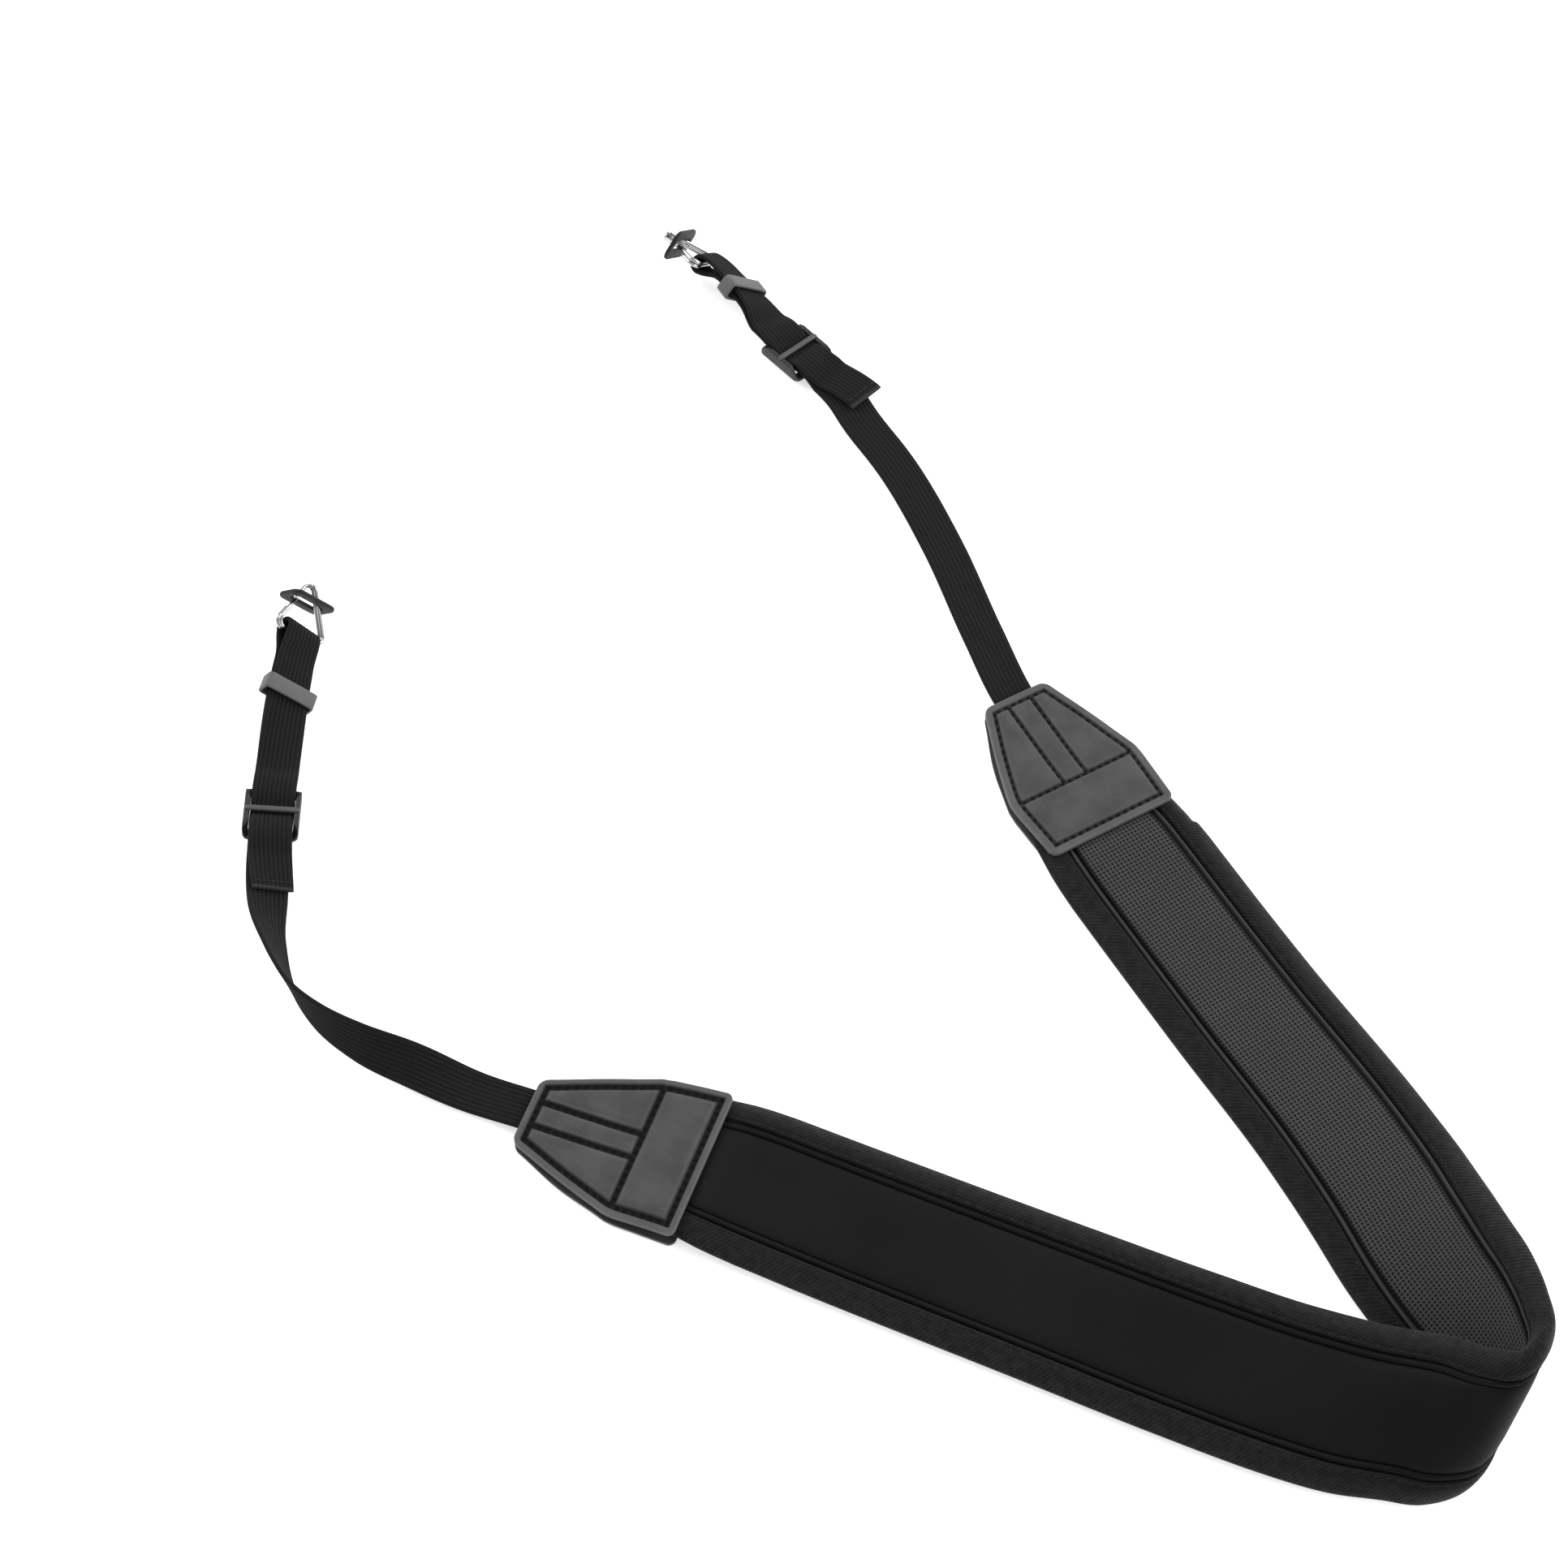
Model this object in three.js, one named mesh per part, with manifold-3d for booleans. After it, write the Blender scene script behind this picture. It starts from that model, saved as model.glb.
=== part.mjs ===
// Camera neck strap: a padded neck band with leather tabs and two adjustable tapes with rings,
// laid in a loop on a flat surface. Millimetres, +Z up, the surface at z = 0.
// +X runs along the loop, from the rings towards the bend at the wearer's neck.
import * as THREE from 'three';
import { mergeVertices } from 'three/addons/utils/BufferGeometryUtils.js';
import Module from 'manifold-3d';

const wasm = await Module();
wasm.setup();

// Driving dimensions
const GAP = 0.3;
const BAND_WIDTH = 41;
const PAD_HALF_THICKNESS = 2.5;
const BINDING_FACE = 6.7;
const BINDING_THICKNESS = 0.7;
const BINDING_HALF_THICKNESS = 2.4;
const MESH_THICKNESS = 0.7;
const TAB_LENGTH = 47;
const LEATHER_THICKNESS = 1.3;
const PAD_INSIDE_TAB = 15;
const TAPE_INSIDE_TAB = 20;
const TAPE_WIDTH = 11;
const TAPE_THICKNESS = 1.2;
const LAYER_STEP = TAPE_THICKNESS + GAP;
const TAIL_LENGTH = 23.6;
const WIRE = 1.1;
const WIRE_PITCH = 1.15;
const BAR_TO_TAPE = 2.2;

// The strap is centred on its own bounding box
const CENTRE = { x: -7.11, y: 0.11, z: -0.05 };

// Turns a table with named columns into a list of rows
const table = (names, values) => values.map((row) => Object.fromEntries(row.map((v, i) => [names[i], v])));

// The band's low edge on the surface, from the left tab's narrow end round the bend to the right
// tab's narrow end. roll lifts the high edge, which lies in the direction side (both in degrees).
const BAND = table(['x', 'y', 'roll', 'side', 'lift'], [
  [-24.9, -118.2, 0, 114, 0],
  [17.2, -99.4, 0, 114, 1.0],
  [52.6, -85.6, 3, 113, 0.2],
  [98.4, -67.6, 6, 113, 0],
  [129.8, -55.4, 10, 113, 0],
  [152.6, -45.8, 14, 111, 0],
  [166.5, -38.6, 22, 108, 0],
  [176.6, -31, 34, 106, 0],
  [183.6, -25.4, 45, 106, 0],
  [187.4, -17.8, 56, 104, 0],
  [186.5, -10, 62, 99, 0],
  [183.4, -4.8, 62, 95, 0],
  [176.6, -2.4, 57, 92, 0],
  [167, -1.6, 47, 89, 0],
  [153.9, -0.8, 34, 85, 0],
  [138, 2.7, 22, 79, 0],
  [122, 8.1, 12, 76, 0],
  [103, 14, 6, 75, 0],
  [63.9, 23.5, 1, 75, 0],
  [24, 33.5, 0, 75, 0.2],
  [7, 37.6, 0, 74.5, 1.0],
  [-38, 50.4, 0, 74, 0],
]);

// Each tape's route, from its ring to its tab. roll lifts the side that is on the left on the way
// to the tab. z is the height of the face between the two layers, and past the tail the tape's own.
const ROUTES = {
  left: {
    rows: table(['x', 'y', 'z', 'roll'], [
      [-174.1, -48.9, 8, -50],
      [-169.5, -54.4, 7, -44],
      [-163.9, -61.6, 5.8, -34],
      [-151, -76.6, 2.9, -9],
      [-135.3, -93.1, 2.7, -8],
      [-123.4, -103.8, 3.9, -26],
      [-113.1, -111.5, 5.4, -55],
      [-103.8, -116.4, 6, -72],
      [-95.5, -119, 6.1, -84],
      [-86.2, -119.3, 5.9, -100],
      [-74.8, -117, 5.5, -120],
      [-61.2, -111.5, 4.1, -150],
      [-47.2, -105.8, 2, -174],
    ]),
    keeper: 16.8,
    adjuster: 51.5,
    tailDrift: 1,
    tabShift: -1.3,
  },
  right: {
    rows: table(['x', 'y', 'z', 'roll'], [
      [-189.5, 113.6, 7.2, -42],
      [-184, 114.9, 6.8, -42],
      [-176, 114.2, 6.3, -41],
      [-171, 113.7, 5.5, -36],
      [-165, 112.5, 3.9, -18],
      [-160, 111.8, 3, -8],
      [-152, 111.4, 2.6, -6.5],
      [-144, 111.5, 2.3, -5],
      [-133, 110.4, 2, -2],
      [-125.7, 108.2, 1.7, 0],
      [-103, 102, 1.5, 0],
      [-79, 92.5, 1.5, 0],
      [-52, 79.2, 2, 0],
    ]),
    keeper: 13.2,
    adjuster: 37.8,
    tailDrift: 4.5,
    tabShift: -0.1,
  },
};

// Offsets of the two layers from the face between them, by distance from the adjuster's middle:
// over each end bar, and under the middle bar
const LAYERS_AT_ADJUSTER = table(['from', 'lift'], [
  [-12.6, 0],
  [-8, 1.6],
  [-4.9, 1.6],
  [0, -0.1],
  [4.9, 1.6],
  [8, 1.6],
  [12.6, 0],
]);

const radians = THREE.MathUtils.degToRad;
const vector = (x, y, z) => new THREE.Vector3(x, y, z);
const mix = (start, end, share) => start + (end - start) * share;

// A curve through rows of numbers: cubic pieces between rows, each row's slope being the mean of
// the slopes on its two sides, weighted by the length on the other side
function smoothCurve(knots, rows) {
  const last = rows.length - 1;
  const slope = (i) => (rows[i + 1].map((v, k) => (v - rows[i][k]) / (knots[i + 1] - knots[i])));
  const slopes = rows.map((_, i) => {
    if (i === 0) return slope(0);
    if (i === last) return slope(last - 1);
    const before = knots[i] - knots[i - 1];
    const after = knots[i + 1] - knots[i];
    const back = slope(i - 1);
    return slope(i).map((v, k) => (back[k] * after + v * before) / (before + after));
  });
  return (at) => {
    let i = 0;
    while (i < last - 1 && at > knots[i + 1]) i += 1;
    const length = knots[i + 1] - knots[i];
    const t = THREE.MathUtils.clamp((at - knots[i]) / length, 0, 1);
    const rise = t * t * (3 - 2 * t);
    const lead = t * (1 - t) * (1 - t) * length;
    const trail = t * t * (t - 1) * length;
    return rows[i].map((v, k) => mix(v, rows[i + 1][k], rise) + lead * slopes[i][k] + trail * slopes[i + 1][k]);
  };
}

// A path with a direction across it at every point, which may slant. frame(distance) gives the
// point, the way along, the way across and the way out of the face.
class RibbonPath {
  constructor(centres, sides) {
    const knots = [0];
    for (let i = 1; i < centres.length; i += 1) knots.push(knots[i - 1] + centres[i].distanceTo(centres[i - 1]));
    this.curve = smoothCurve(knots, centres.map((c, i) => [...c.toArray(), ...sides[i].toArray()]));
    this.end = knots[knots.length - 1];
    const steps = 600;
    this.measured = [{ at: 0, length: 0 }];
    for (let i = 1; i <= steps; i += 1) {
      const at = (this.end * i) / steps;
      const before = this.measured[i - 1];
      this.measured.push({ at, length: before.length + this.point(at).distanceTo(this.point(before.at)) });
    }
    this.length = this.measured[steps].length;
  }

  point(at) {
    return vector(...this.curve(at));
  }

  knotAt(distance) {
    const next = this.measured.findIndex((m) => m.length >= distance);
    if (next < 1) return distance <= 0 ? 0 : this.end;
    const [a, b] = [this.measured[next - 1], this.measured[next]];
    return mix(a.at, b.at, (distance - a.length) / (b.length - a.length));
  }

  frame(distance) {
    const at = this.knotAt(distance);
    const centre = this.point(at);
    const along = this.point(Math.min(at + 0.5, this.end)).sub(this.point(Math.max(at - 0.5, 0))).normalize();
    const across = vector(...this.curve(at).slice(3)).normalize();
    return { centre, along, across, out: vector(0, 0, 0).crossVectors(along, across).normalize() };
  }
}

// A point of a frame, given how far across and how far out it is
const onFrame = (f, across, out) => f.centre.clone().addScaledVector(f.across, across).addScaledVector(f.out, out);

// A closed solid from a section carried through frames. section(i) gives its [across, out]
// corners, anticlockwise as seen by someone looking back from the far end.
function sweep(frames, section) {
  const rings = frames.map((f, i) => section(i).map(([a, o]) => onFrame(f, a, o)));
  const count = rings[0].length;
  const positions = rings.flat().flatMap((p) => p.toArray());
  const faces = [];
  for (let i = 0; i < rings.length - 1; i += 1) {
    for (let j = 0; j < count; j += 1) {
      const a = i * count + j;
      const b = i * count + ((j + 1) % count);
      faces.push(a, b, b + count, a, b + count, a + count);
    }
  }
  const cap = (i, flip) => {
    const outline = section(i).map(([a, o]) => new THREE.Vector2(a, o));
    for (const [a, b, c] of THREE.ShapeUtils.triangulateShape(outline, [])) {
      const base = i * count;
      faces.push(...(flip ? [base + a, base + c, base + b] : [base + a, base + b, base + c]));
    }
  };
  cap(0, true);
  cap(rings.length - 1, false);
  const geometry = new THREE.BufferGeometry();
  geometry.setAttribute('position', new THREE.Float32BufferAttribute(positions, 3));
  geometry.setIndex(faces);
  return geometry;
}

// Joins overlapping closed geometries into one
function join(geometries) {
  const solids = geometries.map((geometry) => {
    const bare = geometry.index ? geometry.toNonIndexed() : geometry.clone();
    bare.deleteAttribute('normal');
    bare.deleteAttribute('uv');
    const merged = mergeVertices(bare, 1e-4);
    return new wasm.Manifold(new wasm.Mesh({
      numProp: 3,
      vertProperties: new Float32Array(merged.attributes.position.array),
      triVerts: new Uint32Array(merged.index.array),
    }));
  });
  const mesh = solids.reduce((a, b) => a.add(b)).getMesh();
  const geometry = new THREE.BufferGeometry();
  geometry.setAttribute('position', new THREE.Float32BufferAttribute(mesh.vertProperties, 3));
  geometry.setIndex(new THREE.Uint32BufferAttribute(mesh.triVerts, 1));
  return geometry;
}

const finish = (color, roughness, metalness = 0) => new THREE.MeshStandardMaterial({ color, roughness, metalness });
const FINISHES = {
  neoprene: () => finish(0x1d1d1e, 0.75),
  mesh: () => finish(0x3c3c3e, 0.9),
  binding: () => finish(0x18181a, 0.9),
  leather: () => finish(0x55565a, 0.55),
  tape: () => finish(0x1b1b1c, 0.85),
  plastic: () => finish(0x2b2b2d, 0.45),
  steel: () => finish(0xc8c8cc, 0.25, 1),
  guard: () => finish(0x151516, 0.5),
};

function part(name, geometry, material) {
  const mesh = new THREE.Mesh(geometry, material());
  mesh.name = name;
  return mesh;
}

// The band's path, from the low edge's rows to its middle line
function bandPath() {
  const half = BAND_WIDTH / 2;
  const sides = BAND.map(({ roll, side }) => vector(
    Math.cos(radians(roll)) * Math.cos(radians(side)),
    Math.cos(radians(roll)) * Math.sin(radians(side)),
    Math.sin(radians(roll)),
  ));
  const edge = BAND.map(({ x, y, roll, lift }) => vector(x, y, PAD_HALF_THICKNESS * Math.cos(radians(roll)) + lift));
  return new RibbonPath(edge.map((point, i) => point.clone().addScaledVector(sides[i], half)), sides);
}

const band = bandPath();

// Distances along the band, closer together where it turns tightly
function bandStations(start, end) {
  const tight = [205, 262];
  const stations = [start];
  while (stations[stations.length - 1] < end) {
    const here = stations[stations.length - 1];
    const step = here > tight[0] && here < tight[1] ? 3.5 : 10;
    stations.push(Math.min(here + step, end));
  }
  const count = stations.length;
  if (stations[count - 1] - stations[count - 2] < 1) stations.splice(count - 2, 1);
  return stations;
}

// How much of its full thickness and width the pad keeps. It is pressed flat and drawn in where
// it is sewn into the tabs.
const PAD_TAPER = table(['from', 'thickness', 'width'], [
  [TAB_LENGTH - PAD_INSIDE_TAB, 0.44, 0.86],
  [TAB_LENGTH, 0.68, 0.93],
  [TAB_LENGTH + 12, 1, 1],
]);

function padTaper(distance, length) {
  const fromEnd = Math.min(distance, length - distance);
  const next = PAD_TAPER.findIndex(({ from }) => from > fromEnd);
  if (next < 0) return { thickness: 1, width: 1 };
  const [a, b] = [PAD_TAPER[Math.max(next - 1, 0)], PAD_TAPER[next]];
  const share = (fromEnd - a.from) / (b.from - a.from || 1);
  return { thickness: mix(a.thickness, b.thickness, share), width: mix(a.width, b.width, share) };
}

function padPieces(path) {
  const start = TAB_LENGTH - PAD_INSIDE_TAB;
  const stations = bandStations(start, path.length - start);
  const frames = stations.map((d) => path.frame(d));
  const tapers = stations.map((d) => padTaper(d, path.length));
  const scaled = (corners) => (i) => corners.map(([a, o]) => [a * tapers[i].width, o * tapers[i].thickness]);
  const inner = BAND_WIDTH / 2 - BINDING_FACE;
  const outer = BAND_WIDTH / 2;
  const skin = BINDING_THICKNESS;
  const full = BINDING_HALF_THICKNESS;
  const crown = PAD_HALF_THICKNESS;
  const foam = outer - skin - 0.5;
  const [step, back] = [inner + GAP, 1.1];
  const core = [
    [foam, -0.6], [foam, 0.6], [step, back], [step - 1, crown - 0.4], [5, crown], [-5, crown], [1 - step, crown - 0.4],
    [-step, back], [-foam, 0.6], [-foam, -0.6], [-step, -back], [-5, -back], [5, -back], [step, -back],
  ];
  const binding = [
    [inner, full], [inner, full - skin], [outer - skin - 0.6, full - skin - 0.25], [outer - skin, 0.7],
    [outer - skin, -0.7], [outer - skin - 0.6, skin + 0.25 - full], [inner, skin - full], [inner, -full],
    [outer - 1.2, -full], [outer - 0.2, -1.3], [outer, 0], [outer - 0.2, 1.3], [outer - 1.2, full],
  ];
  const mirrored = binding.map(([a, o]) => [-a, o]).reverse();
  const meshTop = -1.5;
  const edge = inner - 2 * GAP;
  const mesh = [
    [edge, meshTop - MESH_THICKNESS], [edge, meshTop], [5, meshTop], [-5, meshTop],
    [-edge, meshTop], [-edge, meshTop - MESH_THICKNESS],
    [-5, meshTop - MESH_THICKNESS], [5, meshTop - MESH_THICKNESS],
  ];
  return [
    part('pad_core', sweep(frames, scaled(core)), FINISHES.neoprene),
    part('mesh_panel', sweep(frames, scaled(mesh)), FINISHES.mesh),
    part('binding_upper', sweep(frames, scaled(binding)), FINISHES.binding),
    part('binding_lower', sweep(frames, scaled(mirrored)), FINISHES.binding),
  ];
}

// Half of a tab's width and the clearance inside it, by distance from its narrow end
const TAB_OUTLINE = table(['from', 'half', 'inside'], [
  [0, 7.4, 0.95],
  [1.5, 9.3, 0.95],
  [15, 14.1, 0.95],
  [22, 16.5, 1.0],
  [28.5, 18.7, 1.3],
  [31.5, 19, 1.4],
  [39, 19, 1.8],
  [TAB_LENGTH, 19, 2.05],
]);

function tabPieces(path, side, shift) {
  const fromStart = side === 'left';
  const rows = fromStart ? TAB_OUTLINE : [...TAB_OUTLINE].reverse();
  const frames = rows.map(({ from }) => path.frame(fromStart ? from : path.length - from));
  const patch = (face) => (i) => {
    const { half, inside } = rows[i];
    const near = face * inside;
    const far = face * (inside + LEATHER_THICKNESS);
    const [low, high] = [Math.min(near, far), Math.max(near, far)];
    return [[shift + half, low], [shift + half, high], [shift - half, high], [shift - half, low]];
  };
  return [
    part(`tab_${side}_front`, sweep(frames, patch(1)), FINISHES.leather),
    part(`tab_${side}_back`, sweep(frames, patch(-1)), FINISHES.leather),
  ];
}

// One tape: in from its tab under the adjuster and keeper, round the ring's bar, and back on top
function tapePiece(side, route, path) {
  const { adjuster, tailDrift } = route;
  const knots = LAYERS_AT_ADJUSTER.map(({ from }) => from);
  const waves = smoothCurve(knots, LAYERS_AT_ADJUSTER.map(({ lift }) => [lift]));
  const wave = (d) => (Math.abs(d - adjuster) < knots[knots.length - 1] ? waves(d - adjuster)[0] : 0);
  const single = adjuster + TAIL_LENGTH + 5;
  const spread = (d) => mix(BAR_TO_TAPE, LAYER_STEP / 2, THREE.MathUtils.smoothstep(d, 0, 8))
    - (LAYER_STEP / 2) * THREE.MathUtils.smoothstep(d, single, single + 15);
  const at = (d, layer, drift = 0) => {
    const f = path.frame(d);
    return { centre: onFrame(f, drift, wave(d) + layer * spread(d)), across: f.across };
  };
  const tailEnd = adjuster + TAIL_LENGTH;
  const shared = [];
  for (let d = 0; d < adjuster + 12; d += 2) shared.push(d);
  const tail = [...shared, adjuster + 14, adjuster + 20, tailEnd];
  const rest = [];
  for (let d = adjuster + 14; d < path.length; d += 5) rest.push(d);
  const out = [...shared, ...rest, path.length].map((d) => at(d, -1)).reverse();
  const first = path.frame(0);
  const turn = [-60, -30, 0, 30, 60].map((angle) => ({
    centre: onFrame(first, 0, BAR_TO_TAPE * Math.sin(radians(angle)))
      .addScaledVector(first.along, -BAR_TO_TAPE * Math.cos(radians(angle))),
    across: first.across,
  }));
  const driftFrom = adjuster + 9;
  const back = tail.map((d) => at(d, 1, d > driftFrom ? (tailDrift * (d - driftFrom)) / (tailEnd - driftFrom) : 0));
  const line = [...out, ...turn, ...back];
  const frames = line.map(({ centre, across }, i) => {
    const before = line[Math.max(i - 1, 0)].centre;
    const after = line[Math.min(i + 1, line.length - 1)].centre;
    const along = after.clone().sub(before).normalize();
    const straight = across.clone().addScaledVector(along, -across.dot(along)).normalize();
    return { centre, along, across: straight, out: vector(0, 0, 0).crossVectors(along, straight) };
  });
  const [w, t] = [TAPE_WIDTH / 2, TAPE_THICKNESS / 2];
  const section = [[w, -t], [w, t], [-w, t], [-w, -t]];
  return part(`webbing_${side}`, sweep(frames, () => section), FINISHES.tape);
}

// Places a mesh that is modelled along X, across Y and up Z on a path
function placeOn(path, distance, mesh) {
  const f = path.frame(distance);
  mesh.matrix.makeBasis(f.along, vector(0, 0, 0).crossVectors(f.out, f.along), f.out).setPosition(f.centre);
  mesh.matrix.decompose(mesh.position, mesh.quaternion, mesh.scale);
  return mesh;
}

const block = (length, width, height, x, y, z) => new THREE.BoxGeometry(length, width, height).translate(x, y, z);

// The three-bar slide: two side rails, two end bars under the tape and a middle bar over it
function adjusterPiece(side, path, distance) {
  const [length, rail, inside] = [15, 1.1, TAPE_WIDTH + 3 * GAP];
  const [low, high] = [-1.3, 2.3];
  const railY = (inside + rail) / 2;
  const [endBar, middleBar] = [{ width: 2.2, height: 1.1 }, { width: 1.5, height: 0.9 }];
  const endX = (length - endBar.width) / 2 - 0.2;
  const endZ = low + endBar.height / 2;
  const bars = [
    block(endBar.width, inside + rail, endBar.height, -endX, 0, endZ),
    block(endBar.width, inside + rail, endBar.height, endX, 0, endZ),
    block(middleBar.width, inside + rail, middleBar.height, 0, 0, high),
  ];
  const rails = [-railY, railY].map((y) => block(length, rail, high - low, 0, y, (high + low) / 2));
  return placeOn(path, distance, part(`adjuster_${side}`, join([...rails, ...bars]), FINISHES.plastic));
}

function roundedRectangle(width, height, radius, Kind = THREE.Shape) {
  const [x, y] = [width / 2, height / 2];
  const shape = new Kind();
  shape.moveTo(radius - x, -y);
  shape.lineTo(x - radius, -y);
  shape.absarc(x - radius, radius - y, radius, -Math.PI / 2, 0);
  shape.lineTo(x, y - radius);
  shape.absarc(x - radius, y - radius, radius, 0, Math.PI / 2);
  shape.lineTo(radius - x, y);
  shape.absarc(radius - x, y - radius, radius, Math.PI / 2, Math.PI);
  shape.lineTo(-x, radius - y);
  shape.absarc(radius - x, radius - y, radius, Math.PI, 1.5 * Math.PI);
  return shape;
}

// The keeper: a flat plastic loop round both layers
function keeperPiece(side, path, distance) {
  const [wall, length, skew] = [0.7, 4.5, 10];
  const [width, height] = [TAPE_WIDTH + 6 * GAP, 2 * TAPE_THICKNESS + 5 * GAP];
  const shape = roundedRectangle(width + 2 * wall, height + 2 * wall, 1.2);
  shape.holes.push(roundedRectangle(width, height, 0.4, THREE.Path));
  const geometry = new THREE.ExtrudeGeometry(shape, { depth: length, bevelEnabled: false, curveSegments: 3 });
  geometry.translate(0, 0, -length / 2).rotateX(Math.PI / 2).rotateZ(Math.PI / 2 - radians(skew));
  return placeOn(path, distance, part(`keeper_${side}`, geometry, FINISHES.plastic));
}

// The triangular split ring: one wire that goes round twice, its two ends stopping where it
// steps from the lower turn to the upper
const RING = { base: 14.5, height: 14, corner: 2, step: 0.1, stations: 30 };

function ringOutline() {
  const { base, height, corner } = RING;
  const half = base / 2;
  const lean = Math.atan2(height, half);
  const tip = 1.8;
  const outline = new THREE.Path();
  outline.moveTo(0, 0);
  outline.lineTo(0, half - corner);
  outline.absarc(-corner, half - corner, corner, 0, Math.PI - lean);
  outline.absarc(-height + tip, 0, tip, Math.PI - lean, Math.PI + lean);
  outline.absarc(-corner, corner - half, corner, Math.PI + lean, 2 * Math.PI);
  outline.lineTo(0, 0);
  return outline;
}

function ringPiece(side, path, tilt) {
  const outline = ringOutline();
  const count = RING.stations;
  const frames = [];
  const total = 2 - 2 * RING.step;
  const lift = (turn) => WIRE_PITCH * (THREE.MathUtils.smoothstep(turn, 1 - RING.step, 1 + RING.step) - 0.5);
  const place = (turn) => {
    const p = outline.getPointAt((turn + 0.62) % 1);
    return vector(p.x, p.y, lift(turn));
  };
  for (let i = 0; i <= 2 * count; i += 1) {
    const turn = RING.step + (total * i) / (2 * count);
    const along = place(turn + 0.004).sub(place(turn - 0.004)).normalize();
    const out = vector(0, 0, 1).addScaledVector(along, -along.z).normalize();
    frames.push({ centre: place(turn), along, across: vector(0, 0, 0).crossVectors(out, along), out });
  }
  const corners = [...Array(6).keys()].map((k) => {
    const angle = (k * Math.PI) / 3;
    return [(WIRE / 2) * Math.cos(angle), (WIRE / 2) * Math.sin(angle)];
  });
  const geometry = sweep(frames, () => corners).rotateY(radians(tilt));
  return placeOn(path, 0, part(`ring_${side}`, geometry, FINISHES.steel));
}

// The guard: a thin plate across the ring, with a slot that the ring's two legs pass through
function guardPiece(side, path, tilt) {
  const [width, height, thickness] = [14, 9, 1];
  const shape = roundedRectangle(width, height, 2.5);
  shape.holes.push(roundedRectangle(9.6, 3, 1, THREE.Path));
  const geometry = new THREE.ExtrudeGeometry(shape, { depth: thickness, bevelEnabled: false, curveSegments: 4 });
  geometry.translate(0, 0, -thickness / 2).rotateZ(Math.PI / 2);
  geometry.rotateY(Math.PI / 2).translate(-9.5, 0, 0).rotateY(radians(tilt));
  return placeOn(path, 0, part(`ring_guard_${side}`, geometry, FINISHES.guard));
}

// A tape's path, whose last rows are on the band's middle line, inside the tab
function routePath(rows, side) {
  const inTab = [1, TAPE_INSIDE_TAB / 2, TAPE_INSIDE_TAB]
    .map((d) => band.frame(side === 'left' ? d : band.length - d));
  const facing = side === 'left' ? -1 : 1;
  const centres = rows.map(({ x, y, z }) => vector(x, y, z));
  const last = centres.length - 1;
  const sides = rows.map(({ roll }, i) => {
    const along = centres[Math.min(i + 1, last)].clone().sub(centres[Math.max(i - 1, 0)]).setZ(0).normalize();
    const left = vector(-along.y, along.x, 0);
    return left.multiplyScalar(Math.cos(radians(roll))).setZ(Math.sin(radians(roll)));
  });
  return new RibbonPath(
    [...centres, ...inTab.map((f) => f.centre)],
    [...sides, ...inTab.map((f) => f.across.multiplyScalar(facing))],
  );
}

const strap = new THREE.Group();
strap.add(...padPieces(band));
for (const side of ['left', 'right']) {
  const route = ROUTES[side];
  const path = routePath(route.rows, side);
  strap.add(
    ...tabPieces(band, side, route.tabShift),
    tapePiece(side, route, path),
    adjusterPiece(side, path, route.adjuster),
    keeperPiece(side, path, route.keeper),
    ringPiece(side, path, 8),
    guardPiece(side, path, 8),
  );
}
strap.position.set(-CENTRE.x, -CENTRE.y, -CENTRE.z);

export default strap;
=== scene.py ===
"""Camera neck strap: a padded band with leather tabs, two adjustable tapes and their rings,
laid in a loop on a pale floor. The tables are in millimetres, and the scene is in metres."""
from collections import namedtuple
from math import pi, radians, tau

import bpy
import numpy as np
from bpy.props import FloatProperty, FloatVectorProperty, PointerProperty
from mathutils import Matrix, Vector


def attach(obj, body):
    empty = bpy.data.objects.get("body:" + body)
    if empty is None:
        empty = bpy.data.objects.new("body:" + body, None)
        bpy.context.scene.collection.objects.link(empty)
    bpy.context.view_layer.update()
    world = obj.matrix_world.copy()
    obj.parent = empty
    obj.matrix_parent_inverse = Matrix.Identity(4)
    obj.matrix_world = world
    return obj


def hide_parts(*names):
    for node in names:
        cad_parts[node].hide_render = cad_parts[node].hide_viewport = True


bl_info = {
    "name": "Camera neck strap",
    "version": (1, 0, 0),
    "blender": (4, 5, 0),
    "location": "3D View > Sidebar > Strap",
    "description": "Builds a padded neck strap with leather tabs, tapes, slides and split rings",
    "category": "Add Mesh",
}

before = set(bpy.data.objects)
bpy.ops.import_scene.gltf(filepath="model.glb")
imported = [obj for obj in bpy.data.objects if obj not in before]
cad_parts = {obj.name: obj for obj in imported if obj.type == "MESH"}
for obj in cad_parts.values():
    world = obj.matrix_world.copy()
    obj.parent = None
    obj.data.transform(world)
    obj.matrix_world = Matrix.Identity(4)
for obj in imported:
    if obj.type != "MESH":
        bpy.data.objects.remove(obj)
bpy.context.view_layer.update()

MM = 0.001
SIDES = ("left", "right")

# Offset from the tables' frame to the model's
ORIGIN = np.array((7.11, -0.11, 0.05))

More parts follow.
